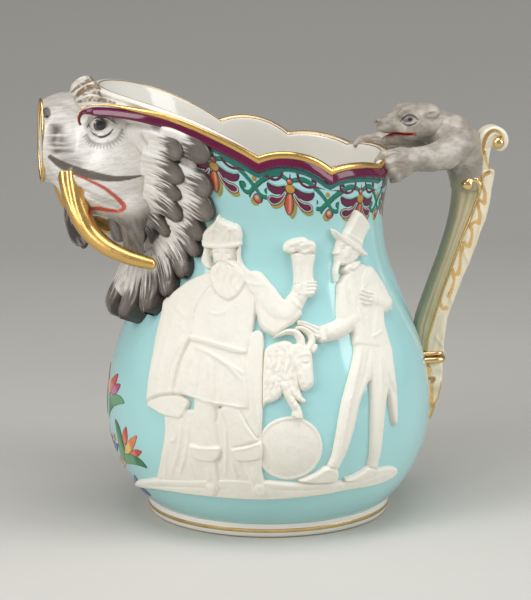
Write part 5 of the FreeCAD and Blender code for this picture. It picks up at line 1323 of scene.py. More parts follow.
def make_bear():
    verts, faces = clay((56, 0, 200), (102, 16, 229), 0.42, bear_head_field)
    paint, s, t = grey_fur(verts)
    # Painted shade under the head: the underside of the jaw and throat goes dark grey.
    paint = mix(paint, FUR_SHADE, 0.75 * ramp(-verts[:, 2], -211, -204) * ramp(verts[:, 0], 72, 84))
    paint = mix(paint, FUR_SHADE, 0.45 * np.exp(-(((verts[:, 0] - 62) / 3.0) ** 2 + ((verts[:, 2] - 216) / 3.0) ** 2)))
    ink = srgb(58, 52, 48)
    paint = mix(paint, srgb(150, 144, 134), 0.5 * (1 - ramp(np.hypot((s - 80.0) / 4.2, (t - 100.4) / 2.0), 0.8, 1.1)))
    paint = stroke(ink, paint, s, t, ((75.0, 99.1), (76.3, 100.8), (78.5, 102.3), (80.5, 102.7), (82.4, 102.0), (84.9, 99.8)), (0.3, 0.55, 0.65, 0.65, 0.55, 0.25), 0.97, 0.3)
    paint = stroke(ink, paint, s, t, ((76.1, 98.5), (78.0, 97.2), (80.2, 97.0), (82.4, 97.7), (83.9, 98.7)), (0.25, 0.5, 0.52, 0.42, 0.2), 0.95, 0.3)
    pupil = np.hypot(s - 80.3, t - 100.3)
    paint = mix(paint, srgb(104, 104, 100), 0.9 * (1 - ramp(pupil, 1.5, 1.9)))
    paint = mix(paint, srgb(36, 33, 33), 1 - ramp(pupil, 0.9, 1.2))
    red = srgb(176, 66, 46)
    paint = stroke(red, paint, s, t, ((64.1, 91.8), (68.0, 91.6), (71.9, 92.0), (75.8, 92.6), (77.4, 92.7)), (0.35, 0.6, 0.6, 0.5, 0.2), 0.95, 0.4)
    x, y, z = verts.T
    lips = (np.abs(z - 209.6 - 0.055 * (x - 66)) < 1.1) & (x < 80.5) & (x > 62)
    paint = np.where(lips[:, None], mix(paint, red, 0.85), paint)
    piece("bear_head_fur", verts, faces, BEAR, ["bear_head", "bear_ear_right", "bear_ear_left"], paint)

    verts, faces = clay((76, 0, 176.5), (128, 20, 226), 0.6, bear_body_field)
    paint, s, t = grey_fur(verts)
    x, y, z = verts.T
    # Painted shade on the front of the body, under the chin and forearm.
    under = ramp(-x, -108, -98) * ramp(-z, -206, -196)
    paint = mix(paint, FUR_SHADE, 0.55 * under)
    fade = ramp(-z + 1.5 * (noise(s * 0.6, t * 0.3) - 0.5), -186, -179.5)
    paint = mix(paint, srgb(170, 162, 132), fade)
    piece("bear_body_fur", verts, faces, BEAR, ["bear_trunk"], paint)

    verts, faces = clay((50, 0, 184), (114, 38, 216), 0.5, bear_arm_field)
    paint, s, t = grey_fur(verts)
    x, y, z = verts.T
    # Painted shade in the grooves between the toes.
    grooves = np.zeros(len(verts))
    for low, high in zip(PAW_ENDS[:-1], PAW_ENDS[1:]):
        track = [tuple((np.array(a) + np.array(b)) / 2) for a, b in zip(low, high)]
        d = rod(x, y, z, track, [1.9, 1.9, 1.3])
        grooves = np.maximum(grooves, 1 - ramp(d, -0.5, 1.2))
    paint = mix(paint, FUR_SHADE, 0.4 * grooves)
    # Painted shade: short dark strokes along the toe grooves.
    for points in (((68.5, 82.1), (71.9, 83.0), (75.2, 82.1)), ((66.9, 79.6), (71.3, 81.3), (75.8, 80.5)), ((68.5, 74.9), (72.4, 76.6), (76.3, 76.0)),
                   ((69.1, 73.0), (73.0, 74.1), (76.9, 73.5))):
        paint = stroke(FUR_SHADE, paint, s, t, points, (0.2, 0.35, 0.15), 0.6, 0.5)
    for side, sign in SIDES:
        keep = (verts[:, 1] * sign > 0)[faces].all(1)
        used, packed = np.unique(faces[keep], return_inverse=True)
        piece("bear_arm_fur_" + side, verts[used], packed.reshape(-1, 4), BEAR, ["bear_arm_" + side], paint[used])


# ---------------------------------------------------------------- handle

SPINE = ((124.6, 200), (126.1, 187.1), (122.5, 164.6), (115.9, 144.9), (108.1, 125.2), (101.5, 108.2), (98.7, 91), (99.2, 84))
INSIDE = ((101.5, 190), (103.6, 179.3), (102.0, 162.4), (96.6, 142.7), (89.4, 122.9), (82.5, 101), (82.5, 84))
GILT_EDGE = ((118.4, 182.0), (116.9, 175.6), (112.4, 162.6), (107.0, 149.4), (101.5, 134.0), (96.0, 118.5), (91.6, 104.0),
             (88.8, 93.0), (88.3, 84.0))
LOBES = (((124.0, 71.0), (120.7, 68.3), (120.4, 63.8), (121.8, 59.4), (121.5, 53.8)), ((117.9, 55.5), (120.2, 54.7), (121.3, 53.8)),
         ((117.4, 54.9), (118.2, 51.1), (119.0, 47.2), (118.5, 43.3)), ((113.5, 41.6), (116.3, 43.3), (118.5, 42.7)),
         ((113.5, 41.1), (114.6, 37.7), (114.1, 33.3), (112.9, 30.0)), ((110.2, 31.6), (111.6, 30.0), (112.9, 30.0)),
         ((109.1, 29.4), (108.2, 24.4), (107.9, 18.9), (106.8, 14.4)), ((103.5, 16.7), (104.6, 14.4), (106.8, 14.4)),
         ((104.1, 15.0), (104.6, 11.1), (103.5, 6.7), (101.8, 2.2)), ((99.1, 11.1), (98.0, 4.4), (97.1, -1.7), (98.5, -4.7), (100.2, -4.4)))


def solid_between(x, z, left, right, ends):
    """Signed distance to the strip between two curves."""
    shape = [tuple(p) for p in curve(left, 40)] + [tuple(p) for p in curve(right, 40)][::-1]
    return area_distance(x, z, shape)


def make_handle():
    """Shaft with its lengthwise flutes, the leaf down its back, the collar, tail leaf, scroll and bosses."""
    def flat_field(low, high, step, fn):
        axes = [np.arange(low[k], high[k], step) for k in (0, 2)]
        x, z = np.meshgrid(axes[0], axes[1], indexing="ij")
        return axes, fn(x, z)

    step = 0.5
    low, high = (78.0, 0, 82.5), (128.0, 9.5, 196.0)
    axes, profile = flat_field(low, high, step, lambda x, z: solid_between(x, z, INSIDE, SPINE, None))
    _, seam = flat_field(low, high, step, lambda x, z: line_distance(x, z, curve(GILT_EDGE, 60))[0])
    x, z = np.meshgrid(axes[0], axes[1], indexing="ij")
    edge_x = np.interp(z, [p[1] for p in GILT_EDGE][::-1], [p[0] for p in GILT_EDGE][::-1])
    inside_x = np.interp(z, [p[1] for p in INSIDE][::-1], [p[0] for p in INSIDE][::-1])
    spine_x = np.interp(z, [p[1] for p in SPINE][::-1], [p[0] for p in SPINE][::-1])
    fluting = (x - inside_x) / np.maximum(edge_x - inside_x, 1)
    half = 6.7 - 0.30 * (1 - np.cos(fluting * 2 * math.pi * 3)) * ramp(fluting, 0.02, 0.15) * ramp(-fluting, -0.95, -0.8)
    half = half - 1.0 * ramp(-z, -100, -86)
    shaft = np.maximum(profile + 0.8, x - edge_x - 2.0)
    ys = np.arange(step / 2, high[1], step)
    field = smax(shaft[:, None, :], ys[None, :, None] - half[:, None, :], 3.2)
    field = np.maximum(field, 84.0 - z[:, None, :])
    inner = radial(np.arctan2(ys[None, :, None], x[:, None, :]), z[:, None, :]) - 1.4 - np.hypot(x[:, None, :], ys[None, :, None])
    field = smax(field, inner, 0.5)
    field = np.concatenate([field[:, ::-1], field], 1)
    verts, faces = nets(field, (low[0], -ys[-1], low[2]), step)
    s, t = picture(verts)
    vx, vy, vz = verts.T
    f = (vx - np.interp(vz, [p[1] for p in INSIDE][::-1], [p[0] for p in INSIDE][::-1])) / 16.0
    streak = noise(f * 9.0 + vy * 0.1, vz * 0.03)
    # Painted shade: the shaft goes darker towards its inner edge, the side that faces the wall.
    paint = mix(srgb(166, 160, 128), srgb(208, 194, 154), ramp(f + 0.12 * (streak - 0.5), 0.05, 0.55))
    paint = mix(paint, srgb(160, 158, 126), 0.35 * ramp(noise(s * 0.08, t * 0.05), 0.4, 0.7))
    paint = mix(paint, srgb(196, 184, 152), 0.5 * ramp(streak, 0.55, 0.8))
    piece("handle_shaft_glaze", verts, faces, IVORY, ["handle_shaft"], paint)

    # leaf along the back, its edge stepping out and in again in overlapping lobes
    scallop = 1.1 * np.abs(np.sin((z - 84) / 24.5 * math.pi + 0.6)) ** 0.6
    leaf = np.maximum(profile - 0.2 - 0.5 * scallop * ramp(x, 0, 1), edge_x - x)
    half = 7.6 + 0.5 * ramp(np.abs(x - edge_x), 2.0, 0.0) - 1.2 * ramp(-z, -100, -86) - 0.8 * ramp(x - edge_x, 3, 9)
    ripple = 0.55 * np.exp(-((((z + 1.1 * (x - edge_x)) / 24.0 + 0.35) % 1.0 - 0.5) / 0.055) ** 2) * ramp(x - edge_x, 3.0, 5.5)
    half = half + ripple
    field = smax(leaf[:, None, :], ys[None, :, None] - half[:, None, :], 2.6)
    field = np.maximum(field, 84.0 - z[:, None, :])
    field = smax(field, (z - 188.5)[:, None, :], 1.5)
    field = smax(field, inner, 0.5)
    field = np.concatenate([field[:, ::-1], field], 1)
    verts, faces = nets(field, (low[0], -ys[-1], low[2]), step)
    s, t = picture(verts)
    veins = noise(s * 0.5 - t * 0.1, t * 0.08)
    paint = mix(srgb(240, 229, 202), srgb(222, 208, 174), 0.6 * ramp(veins, 0.5, 0.8))
    paint = mix(paint, srgb(176, 150, 96), 0.35 * ramp(-np.abs(verts[:, 1]), -3.0, -0.0))
    gild = np.zeros(len(verts))
    track = curve(GILT_EDGE, 90)
    d, _ = line_distance(verts[:, 0], verts[:, 2], track)
    gild = np.maximum(gild, (1 - ramp(d, 1.0, 1.7)) * ramp(np.abs(verts[:, 1]), 3.5, 5.0))
    for lobe in LOBES:
        d, _ = line_distance(s, t, curve(lobe, 30), np.interp(np.linspace(0, 1, 30), (0, 0.4, 1), (1.1, 0.5, 1.0)))
        gild = np.maximum(gild, (1 - ramp(d, -0.2, 0.5)) * ramp(np.abs(verts[:, 1]), 2.0, 3.5))
    piece("handle_leaf_glaze", verts, faces, GILDED, ["handle_leaf"], paint, {"gild": gild})

    # collar: two gilt rings
    rings = []
    for zc, rad in ((81.2, 2.0), (84.9, 1.15)):
        rows = []
        for k in range(17):
            a = 2 * math.pi * k / 16
            rows.append((zc + rad * 0.95 * math.sin(a), rad * math.cos(a)))
        rings.append(rows)
    verts, faces, paint = [], [], []
    base = 0
    for rows in rings:
        turn = np.linspace(0, 2 * math.pi, 97)[:-1]
        plan_x, plan_y = 91.2 + 7.4 * np.sign(np.cos(turn)) * np.abs(np.cos(turn)) ** 0.6, 6.6 * np.sign(np.sin(turn)) * np.abs(np.sin(turn)) ** 0.6
        ring = np.stack([np.stack([plan_x + r * np.cos(turn), plan_y + r * np.sin(turn), np.full(96, h)], -1) for h, r in rows[:-1]])
        verts.append(ring.reshape(-1, 3))
        faces.append(grid_faces(17, 96, closed=True) % (16 * 96) + base)
        base += 16 * 96
    piece("handle_collar_gilt", np.concatenate(verts), np.concatenate(faces), GOLD, ["handle_collar"])
    make_tail_leaf()
    make_scroll()


def tail_field(x, y, z):
    d = area_distance(x, z, rounded([(82, 82), (84, 68), (86, 56), (90.5, 45.5), (93.0, 45), (95.6, 54), (98.0, 64), (98.6, 74),
                                     (98.2, 82)]))
    half = np.interp(z, (44, 47, 54, 62, 70, 80), (0.6, 2.0, 4.2, 6.0, 7.0, 6.6))
    half = half + 0.5 * np.sin((z - 44) * 0.62) * ramp(z, 48, 54)
    d = smax(d, np.abs(y) - half, 2.4)
    return np.maximum(d, radial(np.arctan2(y, x), z) - 1.2 - np.hypot(x, y))


def make_tail_leaf():
    verts, faces = clay((80, 0, 43), (101, 9, 82.5), 0.4, tail_field)
    s, t = picture(verts)
    veins = noise(s * 0.45, t * 0.1)
    paint = mix(srgb(244, 234, 208), srgb(226, 212, 178), 0.6 * ramp(veins, 0.5, 0.8))
    gild = np.zeros(len(verts))
    for path, widths in ((((90.7, -31.6), (90.2, -35.5), (91.0, -38.9), (90.2, -41.6), (91.3, -43.3), (93.5, -43.8), (92.1, -46.6), (92.4, -51.1), (91.9, -55.5), (92.4, -57.7), (93.5, -59.4), (92.4, -62.2), (91.6, -65.5)),
                          (0.8, 0.5, 1.0, 0.7, 1.1, 0.8, 0.9, 0.7, 1.1, 0.7, 1.0, 0.8, 0.6)),
                         (((97.4, -45.5), (96.8, -50.5), (95.2, -54.9), (93.0, -58.8)), (0.2, 0.45, 0.45, 0.3))):
        d, _ = line_distance(s, t, curve(path, 60), np.interp(np.linspace(0, 1, 60), np.linspace(0, 1, len(widths)), widths))
        gild = np.maximum(gild, 1 - ramp(d, -0.1, 0.5))
    piece("tail_leaf_glaze", verts, faces, GILDED, ["handle_tail_leaf"], paint, {"gild": gild})


SCROLL_PATH = ((122.8, 176), (121.8, 184), (119.6, 192), (119.6, 199), (122.0, 205.4), (126.0, 208.6), (130.4, 207.4), (132.2, 203.4),
               (130.4, 200.2), (127.8, 201.2))
SCROLL_RADII = (1.8, 3.0, 4.0, 4.6, 4.4, 3.8, 3.2, 2.7, 2.2, 1.6)


def scroll_field(x, y, z):
    path = curve(SCROLL_PATH, 46)
    radii = np.interp(np.linspace(0, 1, 46), np.linspace(0, 1, 10), SCROLL_RADII)
    d, along = line_distance(x, z, path, radii)
    wide = np.interp(along, (0, 0.3, 0.7, 1.0), (5.0, 6.6, 5.2, 4.4))
    web = area_distance(x, z, [tuple(p) for p in path[14:]])
    return smax(np.minimum(d, web + 0.4), np.abs(y) - wide + 1.2 * (web < -1.0), 2.2)


def make_scroll():
    verts, faces = clay((113, 0, 172), (137, 8.5, 214), 0.45, scroll_field)
    s, t = picture(verts)
    tone = noise(s * 0.25, t * 0.25)
    paint = mix(srgb(242, 234, 214), srgb(222, 212, 184), 0.5 * ramp(tone, 0.45, 0.75))
    gild = np.zeros(len(verts))
    path, widths = ((124.0, 72.7), (122.4, 77.7), (121.0, 83.3), (121.5, 88.2), (123.5, 92.1), (126.5, 94.0), (129.6, 93.0), (131.4, 90.2), (131.3, 87.1)), (0.4, 0.6, 0.9, 1.0, 0.9, 0.8, 0.7, 0.6, 0.4)
    d, _ = line_distance(s, t, curve(path, 60), np.interp(np.linspace(0, 1, 60), np.linspace(0, 1, len(widths)), widths))
    gild = np.maximum(gild, 1 - ramp(d, -0.15, 0.5))
    piece("scroll_glaze", verts, faces, GILDED, ["handle_scroll"], paint, {"gild": gild})
    for side, sign in SIDES:
        for name, centre, size in (("volute_boss", (128.6, 4.8, 203.0), 3.3), ("shaft_boss", (110.6, 7.6, 180.7), 3.4)):
            def boss(x, y, z, centre=centre, size=size):
                d = ball(x, y, z, centre, (size, size * 0.8, size))
                if name == "shaft_boss":
                    tail = rod(x, y, z, [(112, 7.4, 183.4), (115.5, 7.2, 183.2), (117.6, 7.0, 180.4), (117.9, 6.8, 176)],
                               [1.4, 1.5, 1.3, 1.0])
                    d = smin(d, tail, 0.8)
                return d
            verts, faces = clay((centre[0] - 8, 0, centre[2] - 8), (centre[0] + 10, centre[1] + 5, centre[2] + 8), 0.3, boss)
            keep = (verts[:, 1] * sign > 0)[faces].all(1)
            used, packed = np.unique(faces[keep], return_inverse=True)
            piece("%s_gilt_%s" % (name, side), verts[used], packed.reshape(-1, 4), GOLD, ["%s_%s" % (name, side)])


# ---------------------------------------------------------------- painted border, mm from the middle of each palmette

PALMETTES = (17.5, 50.7, 90.4, 123.5)
CROSSINGS = (0.0, 34.6, 71.2, 106.5)
BORDER_GREEN, BORDER_TEAL = srgb(14, 128, 104), srgb(44, 122, 114)
BORDER_PURPLE, BORDER_RED, BORDER_OCHRE, BORDER_OLIVE = srgb(104, 16, 62), srgb(198, 82, 52), srgb(196, 150, 66), srgb(172, 158, 86)
# Half of the motif: distance from its middle, depth below the tops of the rim's waves.
STRAP = ((1.35, 14.49), (5.67, 12.99), (9.45, 13.54), (13.23, 16.28), (16.47, 19), (19.71, 22.54), (21.87, 25.28), (22.95, 27.16), (23.27, 29.29),)
STRAP_WIDTHS = (0.9, 1.25, 1.25, 1.15, 1.1, 1.1, 1.0, 0.8, 0.3)
SCROLL = ((21.87, 24.89), (23.22, 26.57), (25.65, 27.03), (28.03, 25.43), (28.57, 23.16), (27.27, 22.29),)
SCROLL_BALL = ((26.84, 23.78),)
UPPER_PETAL = ((12.64, 19.04), (10.15, 20.2), (6.37, 20.32), (2.97, 18.82), (1.62, 19.79), (2.59, 20.93), (4.86, 23.12), (8.26, 24.29), (11.29, 23.06), (12.42, 21.19),)
LOWER_PETAL = ((2.48, 21.46), (4.7, 24.67), (7.51, 25.86), (9.77, 25.48), (11.66, 26.56), (11.99, 28.52), (10.15, 30.01), (8.26, 30.07), (5.62, 28.64), (3.35, 25.53), (1.78, 22.1),)
CREST = ((12.37, 18.23), (9.99, 19.47), (6.21, 19.53), (2.7, 17.9),)
CURL = ((3.89, 10.02), (4.43, 12.87), (6.21, 15.62), (9.45, 16.71), (13.23, 15.84), (15.93, 15.93), (18.63, 16.45),)
HOOK = ((12.37, 12.39), (13.34, 13.21), (13.01, 14.9), (11.61, 16.12),)
DROP = ((-0.7, 22.19), (-1.78, 25.1), (-2.59, 28.78), (-1.78, 31.59), (0.05, 34.33), (1.73, 30.99), (2.11, 27.44), (1.4, 24.29), (0.7, 21.95),)


def border_paint(a, b, edge, paint):
    """One palmette with its straps over a block of the border: new edge distance and colours."""

    def lay(d, colour, soft=0.16):
        nonlocal edge, paint
        fresh = (edge > 0) & (d < edge)
        paint = mix(paint, colour, np.where(fresh, 1.0, 1 - ramp(d, -soft, soft)))
        edge = np.minimum(edge, d)

    def line(points, widths, side):
        track = curve([(p[0] * side, p[1]) for p in points], 8 * len(points))
        radii = np.interp(np.linspace(0, 1, len(track)), np.linspace(0, 1, len(widths)), widths)
        return line_distance(a, b, track, radii)[0]

    def patch(points, side, shift=(0, 0)):
        return area_distance(a - shift[0], b - shift[1], rounded([(p[0] * side, p[1]) for p in points]))

    def spot(x, y, radius):
        return np.hypot(a - x, b - y) - radius

    for side in (-1, 1):
        lay(patch(LOWER_PETAL, side, (1.0, 2.2)) - 0.1, BORDER_OLIVE)
    lay(patch(DROP, 1, (1.9, 1.7)) - 0.3, BORDER_OLIVE)
    for side in (-1, 1):
        for points, widths in ((STRAP, STRAP_WIDTHS), (SCROLL, (0.7, 0.95, 1.0, 0.9, 0.8, 0.5))):
            low = [(p[0] + 0.4 * side, p[1] + 0.6) for p in points]
            lay(line(low, widths, side), INK)
        lay(line(STRAP, STRAP_WIDTHS, side), BORDER_GREEN)
        lay(line(SCROLL, (0.7, 0.95, 1.0, 0.9, 0.8, 0.5), side), BORDER_GREEN)
        lay(spot(SCROLL_BALL[0][0] * side, SCROLL_BALL[0][1], 1.95), INK)
        lay(spot(SCROLL_BALL[0][0] * side, SCROLL_BALL[0][1], 1.5), BORDER_GREEN)
    for side in (-1, 1):
        lay(line(CREST, (0.5, 0.9, 0.9, 0.5), side), srgb(150, 202, 204))
        d = patch(UPPER_PETAL, side)
        lay(d - 0.5, INK)
        lay(d, BORDER_PURPLE)
        d = patch(LOWER_PETAL, side)
        lay(d - 0.62, INK)
        lay(d - 0.12, srgb(222, 216, 210))
        lay(d + 0.32, BORDER_PURPLE)
        lay(line(CURL, (0.75, 0.7, 0.75, 0.8, 0.6, 0.35, 0.15), side), BORDER_PURPLE)
        lay(line(HOOK, (1.2, 0.6, 0.6, 0.4), side), BORDER_PURPLE)
        lay(spot(12.15 * side, 12.5, 1.25), BORDER_PURPLE)
    lay(line([(0.3, 11.5), (0.2, 13.2), (0.2, 14.6)], (0.2, 0.4, 0.9), 1), BORDER_PURPLE)
    d = patch(DROP, 1)
    lay(d - 0.5, INK)
    # Painted highlight: a paler streak down the middle of the red drop.
    lay(d, mix(BORDER_RED, srgb(226, 150, 120), np.exp(-((a - 0.5) / 0.7) ** 2)))
    lay(spot(0.3, 19.7, 2.8), INK)
    lay(spot(0.2, 19.5, 2.35), BORDER_OCHRE)
    lay(spot(0, 15.7, 1.9), INK)
    # Painted highlight: a near-white spot near the top of the small red bead.
    lay(spot(0, 15.7, 1.35), mix(BORDER_RED, srgb(236, 214, 204), 0.9 * np.exp(-((a + 0.5) ** 2 + (b - 15.3) ** 2) / 0.35)))
    return edge, paint


def make_border():
    theta = np.radians(np.linspace(0, 142, 620))
    top = rim_height(theta)
    spot, _ = on_vessel(theta, top)
    flat = spot[:, :2]
    reach = np.r_[0, np.cumsum(np.hypot(*np.diff(flat, axis=0).T))]
    middles = np.interp(np.radians(PALMETTES), theta, reach)
    crests = np.interp(np.radians(PALMETTES), theta, top)
    line_at = np.r_[-middles[0], middles, reach[-1]]
    base = eased(reach, line_at, np.r_[crests[0], crests, top[-1] + 1.0])
    step = 0.27
    along = np.arange(0, reach[-1], step)
    depth = np.arange(6.5, 40.0, step)
    s, below = np.meshgrid(along, depth, indexing="ij")
    ang = np.interp(along, reach, theta)[:, None] * np.ones((1, len(depth)))
    rim_z = np.interp(along, reach, top)[:, None]
    low_z = np.interp(along, reach, base)[:, None]
    edge = np.full(s.shape, 1e3)
    paint = np.broadcast_to(BORDER_TEAL, s.shape + (3,)).copy()
    z = low_z - below
    joints = np.interp(np.radians(CROSSINGS), theta, reach)
    for at in joints:
        for x, y, r, colour in ((1.6 + 2.0, 31.0, 2.55, BORDER_OLIVE), (2.0, 29.1, 2.8, INK)):
            d = np.hypot(at - s + x - 4.0, below - y) - r
            fresh = (edge > 0) & (d < edge)
            paint = mix(paint, colour, np.where(fresh, 1.0, 1 - ramp(d, -0.16, 0.16)))
            edge = np.minimum(edge, d)
        # Painted highlight: the red bead at each crossing lightens to pale pink towards its top.
        d = np.hypot(at - s - 2.0, below - 29.1) - 2.25
        bead_highlight = np.exp(-((at - s - 2.0 + 0.7) ** 2 + (below - 28.6) ** 2) / 1.2)
        paint = mix(paint, mix(BORDER_RED, srgb(238, 208, 194), 0.85 * bead_highlight), 1 - ramp(d, -0.16, 0.16))
    for k, middle in enumerate(middles):
        near = np.abs(along - middle) < 30.0
        block = np.ix_(near, np.ones(len(depth), bool))
        a, b = middle - s[block], below[block]
        before = middle - joints[k]
        after = joints[k + 1] - middle if k + 1 < len(joints) else before
        a = a * 20.15 / np.where(a > 0, before, after)
        edge[block], paint[block] = border_paint(a, b, edge[block], paint[block])
    for at in joints:
        d = np.hypot(at - s, below - 18.9) - 1.45
        fresh = (edge > 0) & (d < edge)
        paint = mix(paint, BORDER_OCHRE, np.where(fresh, 1.0, 1 - ramp(d, -0.16, 0.16)))
        edge = np.minimum(edge, d)
    slope = np.abs(np.gradient(top, reach))
    slope = np.max([np.roll(slope, k) for k in range(-8, 9)], axis=0)
    slope = np.mean([np.roll(slope, k) for k in range(-20, 21)], axis=0)
    fall = (rim_z - z) / np.sqrt(1 + np.interp(along, reach, slope)[:, None] ** 2)
    d = np.abs(fall - 9.2) - 1.35
    fresh = (edge > 0) & (d < edge)
    paint = mix(paint, BORDER_TEAL, np.where(fresh, 1.0, 1 - ramp(d, -0.16, 0.16)))
    edge = np.minimum(edge, d)
    edge = np.where(fall < 7.4, np.maximum(edge, 0.4), edge)
    height = 0.24 * swell(-edge / 0.7)
    worn = 0.9 + 0.2 * (noise(s * 0.9, below * 0.9) - 0.5)
    paint = np.clip(paint * worn[..., None], 0, 1)
    px, pb, h, faces, used = enamel_skin(edge, height, s, below)
    phi = np.interp(px, reach, theta)
    up = np.interp(px, reach, base) - pb
    colour = paint.reshape(-1, 3)[used]
    for side, sign in SIDES:
        verts, _ = on_vessel(phi * sign, up, h)
        piece("rim_border_" + side, verts, faces, ENAMEL, (), colour)


def enamel_skin(edge, height, u, v, low=-0.25):
    """Kept cells of painted ground, drawn onto the painted edge, and which grid points they use."""
    gu, gv = np.gradient(edge, u[:, 0], v[0])
    size = np.maximum(np.hypot(gu, gv), 0.5)
    outside = edge > 0
    pull = np.where(outside, np.clip(edge, 0, 0.42) / size ** 2, 0.0)
    faces = grid_faces(*u.shape)
    inside = (~outside).ravel()
    faces = faces[inside[faces].any(1)]
    used, packed = np.unique(faces, return_inverse=True)
    h = np.where(outside, low, height)
    return ((u - gu * pull).ravel()[used], (v - gv * pull).ravel()[used], h.ravel()[used],
            packed.reshape(faces.shape), used)


# ---------------------------------------------------------------- painted flowers under the spout

LEAF, DEEP_LEAF, STEM = srgb(104, 166, 116), srgb(52, 126, 84), srgb(150, 96, 88)
RED_PETAL, PINK_PETAL, PEACH, YOLK, BLUE = srgb(204, 76, 58), srgb(176, 72, 116), srgb(228, 132, 84), srgb(236, 206, 106), srgb(46, 76, 160)
# Closed patches as seen in the picture plane, mm, with their colour and the colour of their lit side.
PATCHES = (
    (LEAF, DEEP_LEAF, ((-87.7, -55.7), (-85.9, -53.0), (-83.0, -52.2), (-80.0, -53.8), (-78.0, -57.4), (-81.2, -57.7), (-84.7, -59.2), (-86.5, -62.7), (-87.1, -69.1), (-88.4, -63.8), (-88.4, -59.2))),
    (PEACH, RED_PETAL, ((-83.2, -25.3), (-85.9, -34.0), (-87.6, -42.7), (-88.4, -49.8), (-88.1, -55.5), (-85.9, -52.2), (-86.4, -47.5), (-85.5, -39.8), (-84.0, -31.1))),
    (RED_PETAL, PEACH, ((-81.6, -40.2), (-85.0, -43.4), (-86.5, -46.9), (-86.7, -50.9), (-85.3, -52.2), (-84.7, -48.6), (-82.6, -45.1))),
    (PINK_PETAL, srgb(206, 120, 160), ((-80.4, -46.6), (-83.0, -46.4), (-84.7, -48.6), (-85.9, -51.8), (-83.0, -52.2), (-81.2, -49.2))),
    (DEEP_LEAF, LEAF, ((-83.4, -65.6), (-81.1, -70.3), (-79.8, -75.5), (-78.8, -80.2), (-77.4, -85.5), (-78.3, -89.5), (-80.2, -86.6), (-81.2, -80.8), (-82.3, -73.8), (-83.1, -69.1))),
    (RED_PETAL, PEACH, ((-77.3, -69.7), (-79.1, -73.1), (-79.3, -76.0), (-78.0, -81.4), (-76.5, -77.3))),
    (PEACH, YOLK, ((-71.0, -74.6), (-75.4, -77.3), (-77.7, -81.4), (-78.0, -85.5), (-75.9, -85.5), (-73.0, -81.9))),
    (RED_PETAL, PEACH, ((-68.2, -84.1), (-72.4, -82.8), (-75.4, -85.1), (-73.6, -86.6), (-71.0, -87.1))),
    (DEEP_LEAF, LEAF, ((-78.5, -85.2), (-74.8, -85.7), (-71.3, -87.1), (-68.3, -89.5), (-65.2, -93.7), (-69.5, -91.9), (-73.0, -91.0), (-77.1, -90.8))),
    (YOLK, PEACH, ((-80.6, -86.6), (-79.1, -88.4), (-77.2, -91.0), (-78.0, -92.4), (-79.6, -90.1))),
    (PINK_PETAL, PINK_PETAL, ((-71.9, -103.2), (-70.8, -103.0), (-69.9, -104.7), (-70.8, -105.7), (-71.9, -104.9))),
    (PEACH, YOLK, ((-70.3, -102.2), (-69.1, -101.5), (-67.8, -102.3), (-67.5, -103.6), (-68.9, -104.5), (-70.0, -103.6))),
    (BLUE, srgb(84, 120, 190), ((-73.0, -96.8), (-71.2, -99.5), (-70.0, -102.1), (-69.1, -103.9), (-66.5, -105.6), (-63.1, -108.9), (-67.2, -107.1), (-70.8, -105.6), (-72.2, -102.4), (-72.9, -98.8))),
    (BLUE, srgb(84, 120, 190), ((-85.6, -73.8), (-83.6, -79.4), (-81.6, -79.9), (-82.4, -84.4), (-83.5, -83.1), (-84.7, -79.0))),
    (PEACH, YOLK, ((-84.0, -73.5), (-83.2, -77.9), (-84.4, -77.7))))
STEMS = (((-87.2, -66.6), (-86.6, -72.2), (-85.2, -78.3)), ((-83.0, -84.4), (-80.6, -90.7), (-77.1, -97.7)), ((-78.5, -91.6), (-77.4, -94.9), (-75.8, -97.7)))


class Enamel:
    """Ground being painted: signed distance to the painted edge, and colours."""

    def __init__(self, shape):
        self.edge = np.full(shape, 1e3)
        self.paint = np.zeros(shape + (3,))

    def lay(self, d, colour, soft=0.16):
        fresh = (self.edge > 0) & (d < self.edge)
        self.paint = mix(self.paint, colour, np.where(fresh, 1.0, 1 - ramp(d, -soft, soft)))
        self.edge = np.minimum(self.edge, d)


def make_flowers():
    around = np.radians(np.arange(0.0, 66.0, 0.17))
    phi, z = np.meshgrid(math.pi - around, np.arange(9.0, 101.0, 0.27), indexing="ij")
    spot, _ = on_vessel(phi, z)
    s, t = picture(spot * (1, -1, 1))
    ground = Enamel(phi.shape)
    for stem in STEMS:
        ground.lay(line_distance(s, t, curve(stem, 20), 0.28)[0], STEM)
    for colour, lit, outline in PATCHES:
        shape = [tuple(p) for p in rounded(outline)]
        d = area_distance(s, t, shape)
        ground.lay(d - 0.26, mix(INK, colour, 0.35))
        mid = np.mean(outline, 0)
        half = ramp((s - mid[0]) * 0.8 + (t - mid[1]) * 0.25, -0.6, 0.8)
        ground.lay(d + 0.04, mix(np.broadcast_to(lit, s.shape + (3,)), np.broadcast_to(colour, s.shape + (3,)), half[..., None]))
    edge = np.where(around[:, None] < math.radians(2.0), np.maximum(ground.edge, 0.5), ground.edge)
    height = 0.24 * swell(-edge / 0.7)
    arc = (around * 80.0)[:, None] * np.ones(z.shape)
    px, pz, h, faces, used = enamel_skin(edge, height, arc, z)
    colour = ground.paint.reshape(-1, 3)[used]
    for side, sign in SIDES:
        verts, _ = on_vessel((math.pi - px / 80.0) * sign, pz, h)
        piece("flowers_" + side, verts, faces, ENAMEL, (), colour)


# ---------------------------------------------------------------- stage

# Brightness of the paper against distance back along the floor and up the bend: painted shade, darker behind the
# pitcher and up the back.
BACKDROP = ((-0.6, 0.62), (-0.12, 0.615), (0.05, 0.56), (0.13, 0.505), (0.3, 0.485), (0.6, 0.46), (0.95, 0.40), (1.25, 0.32),
            (1.5, 0.27))


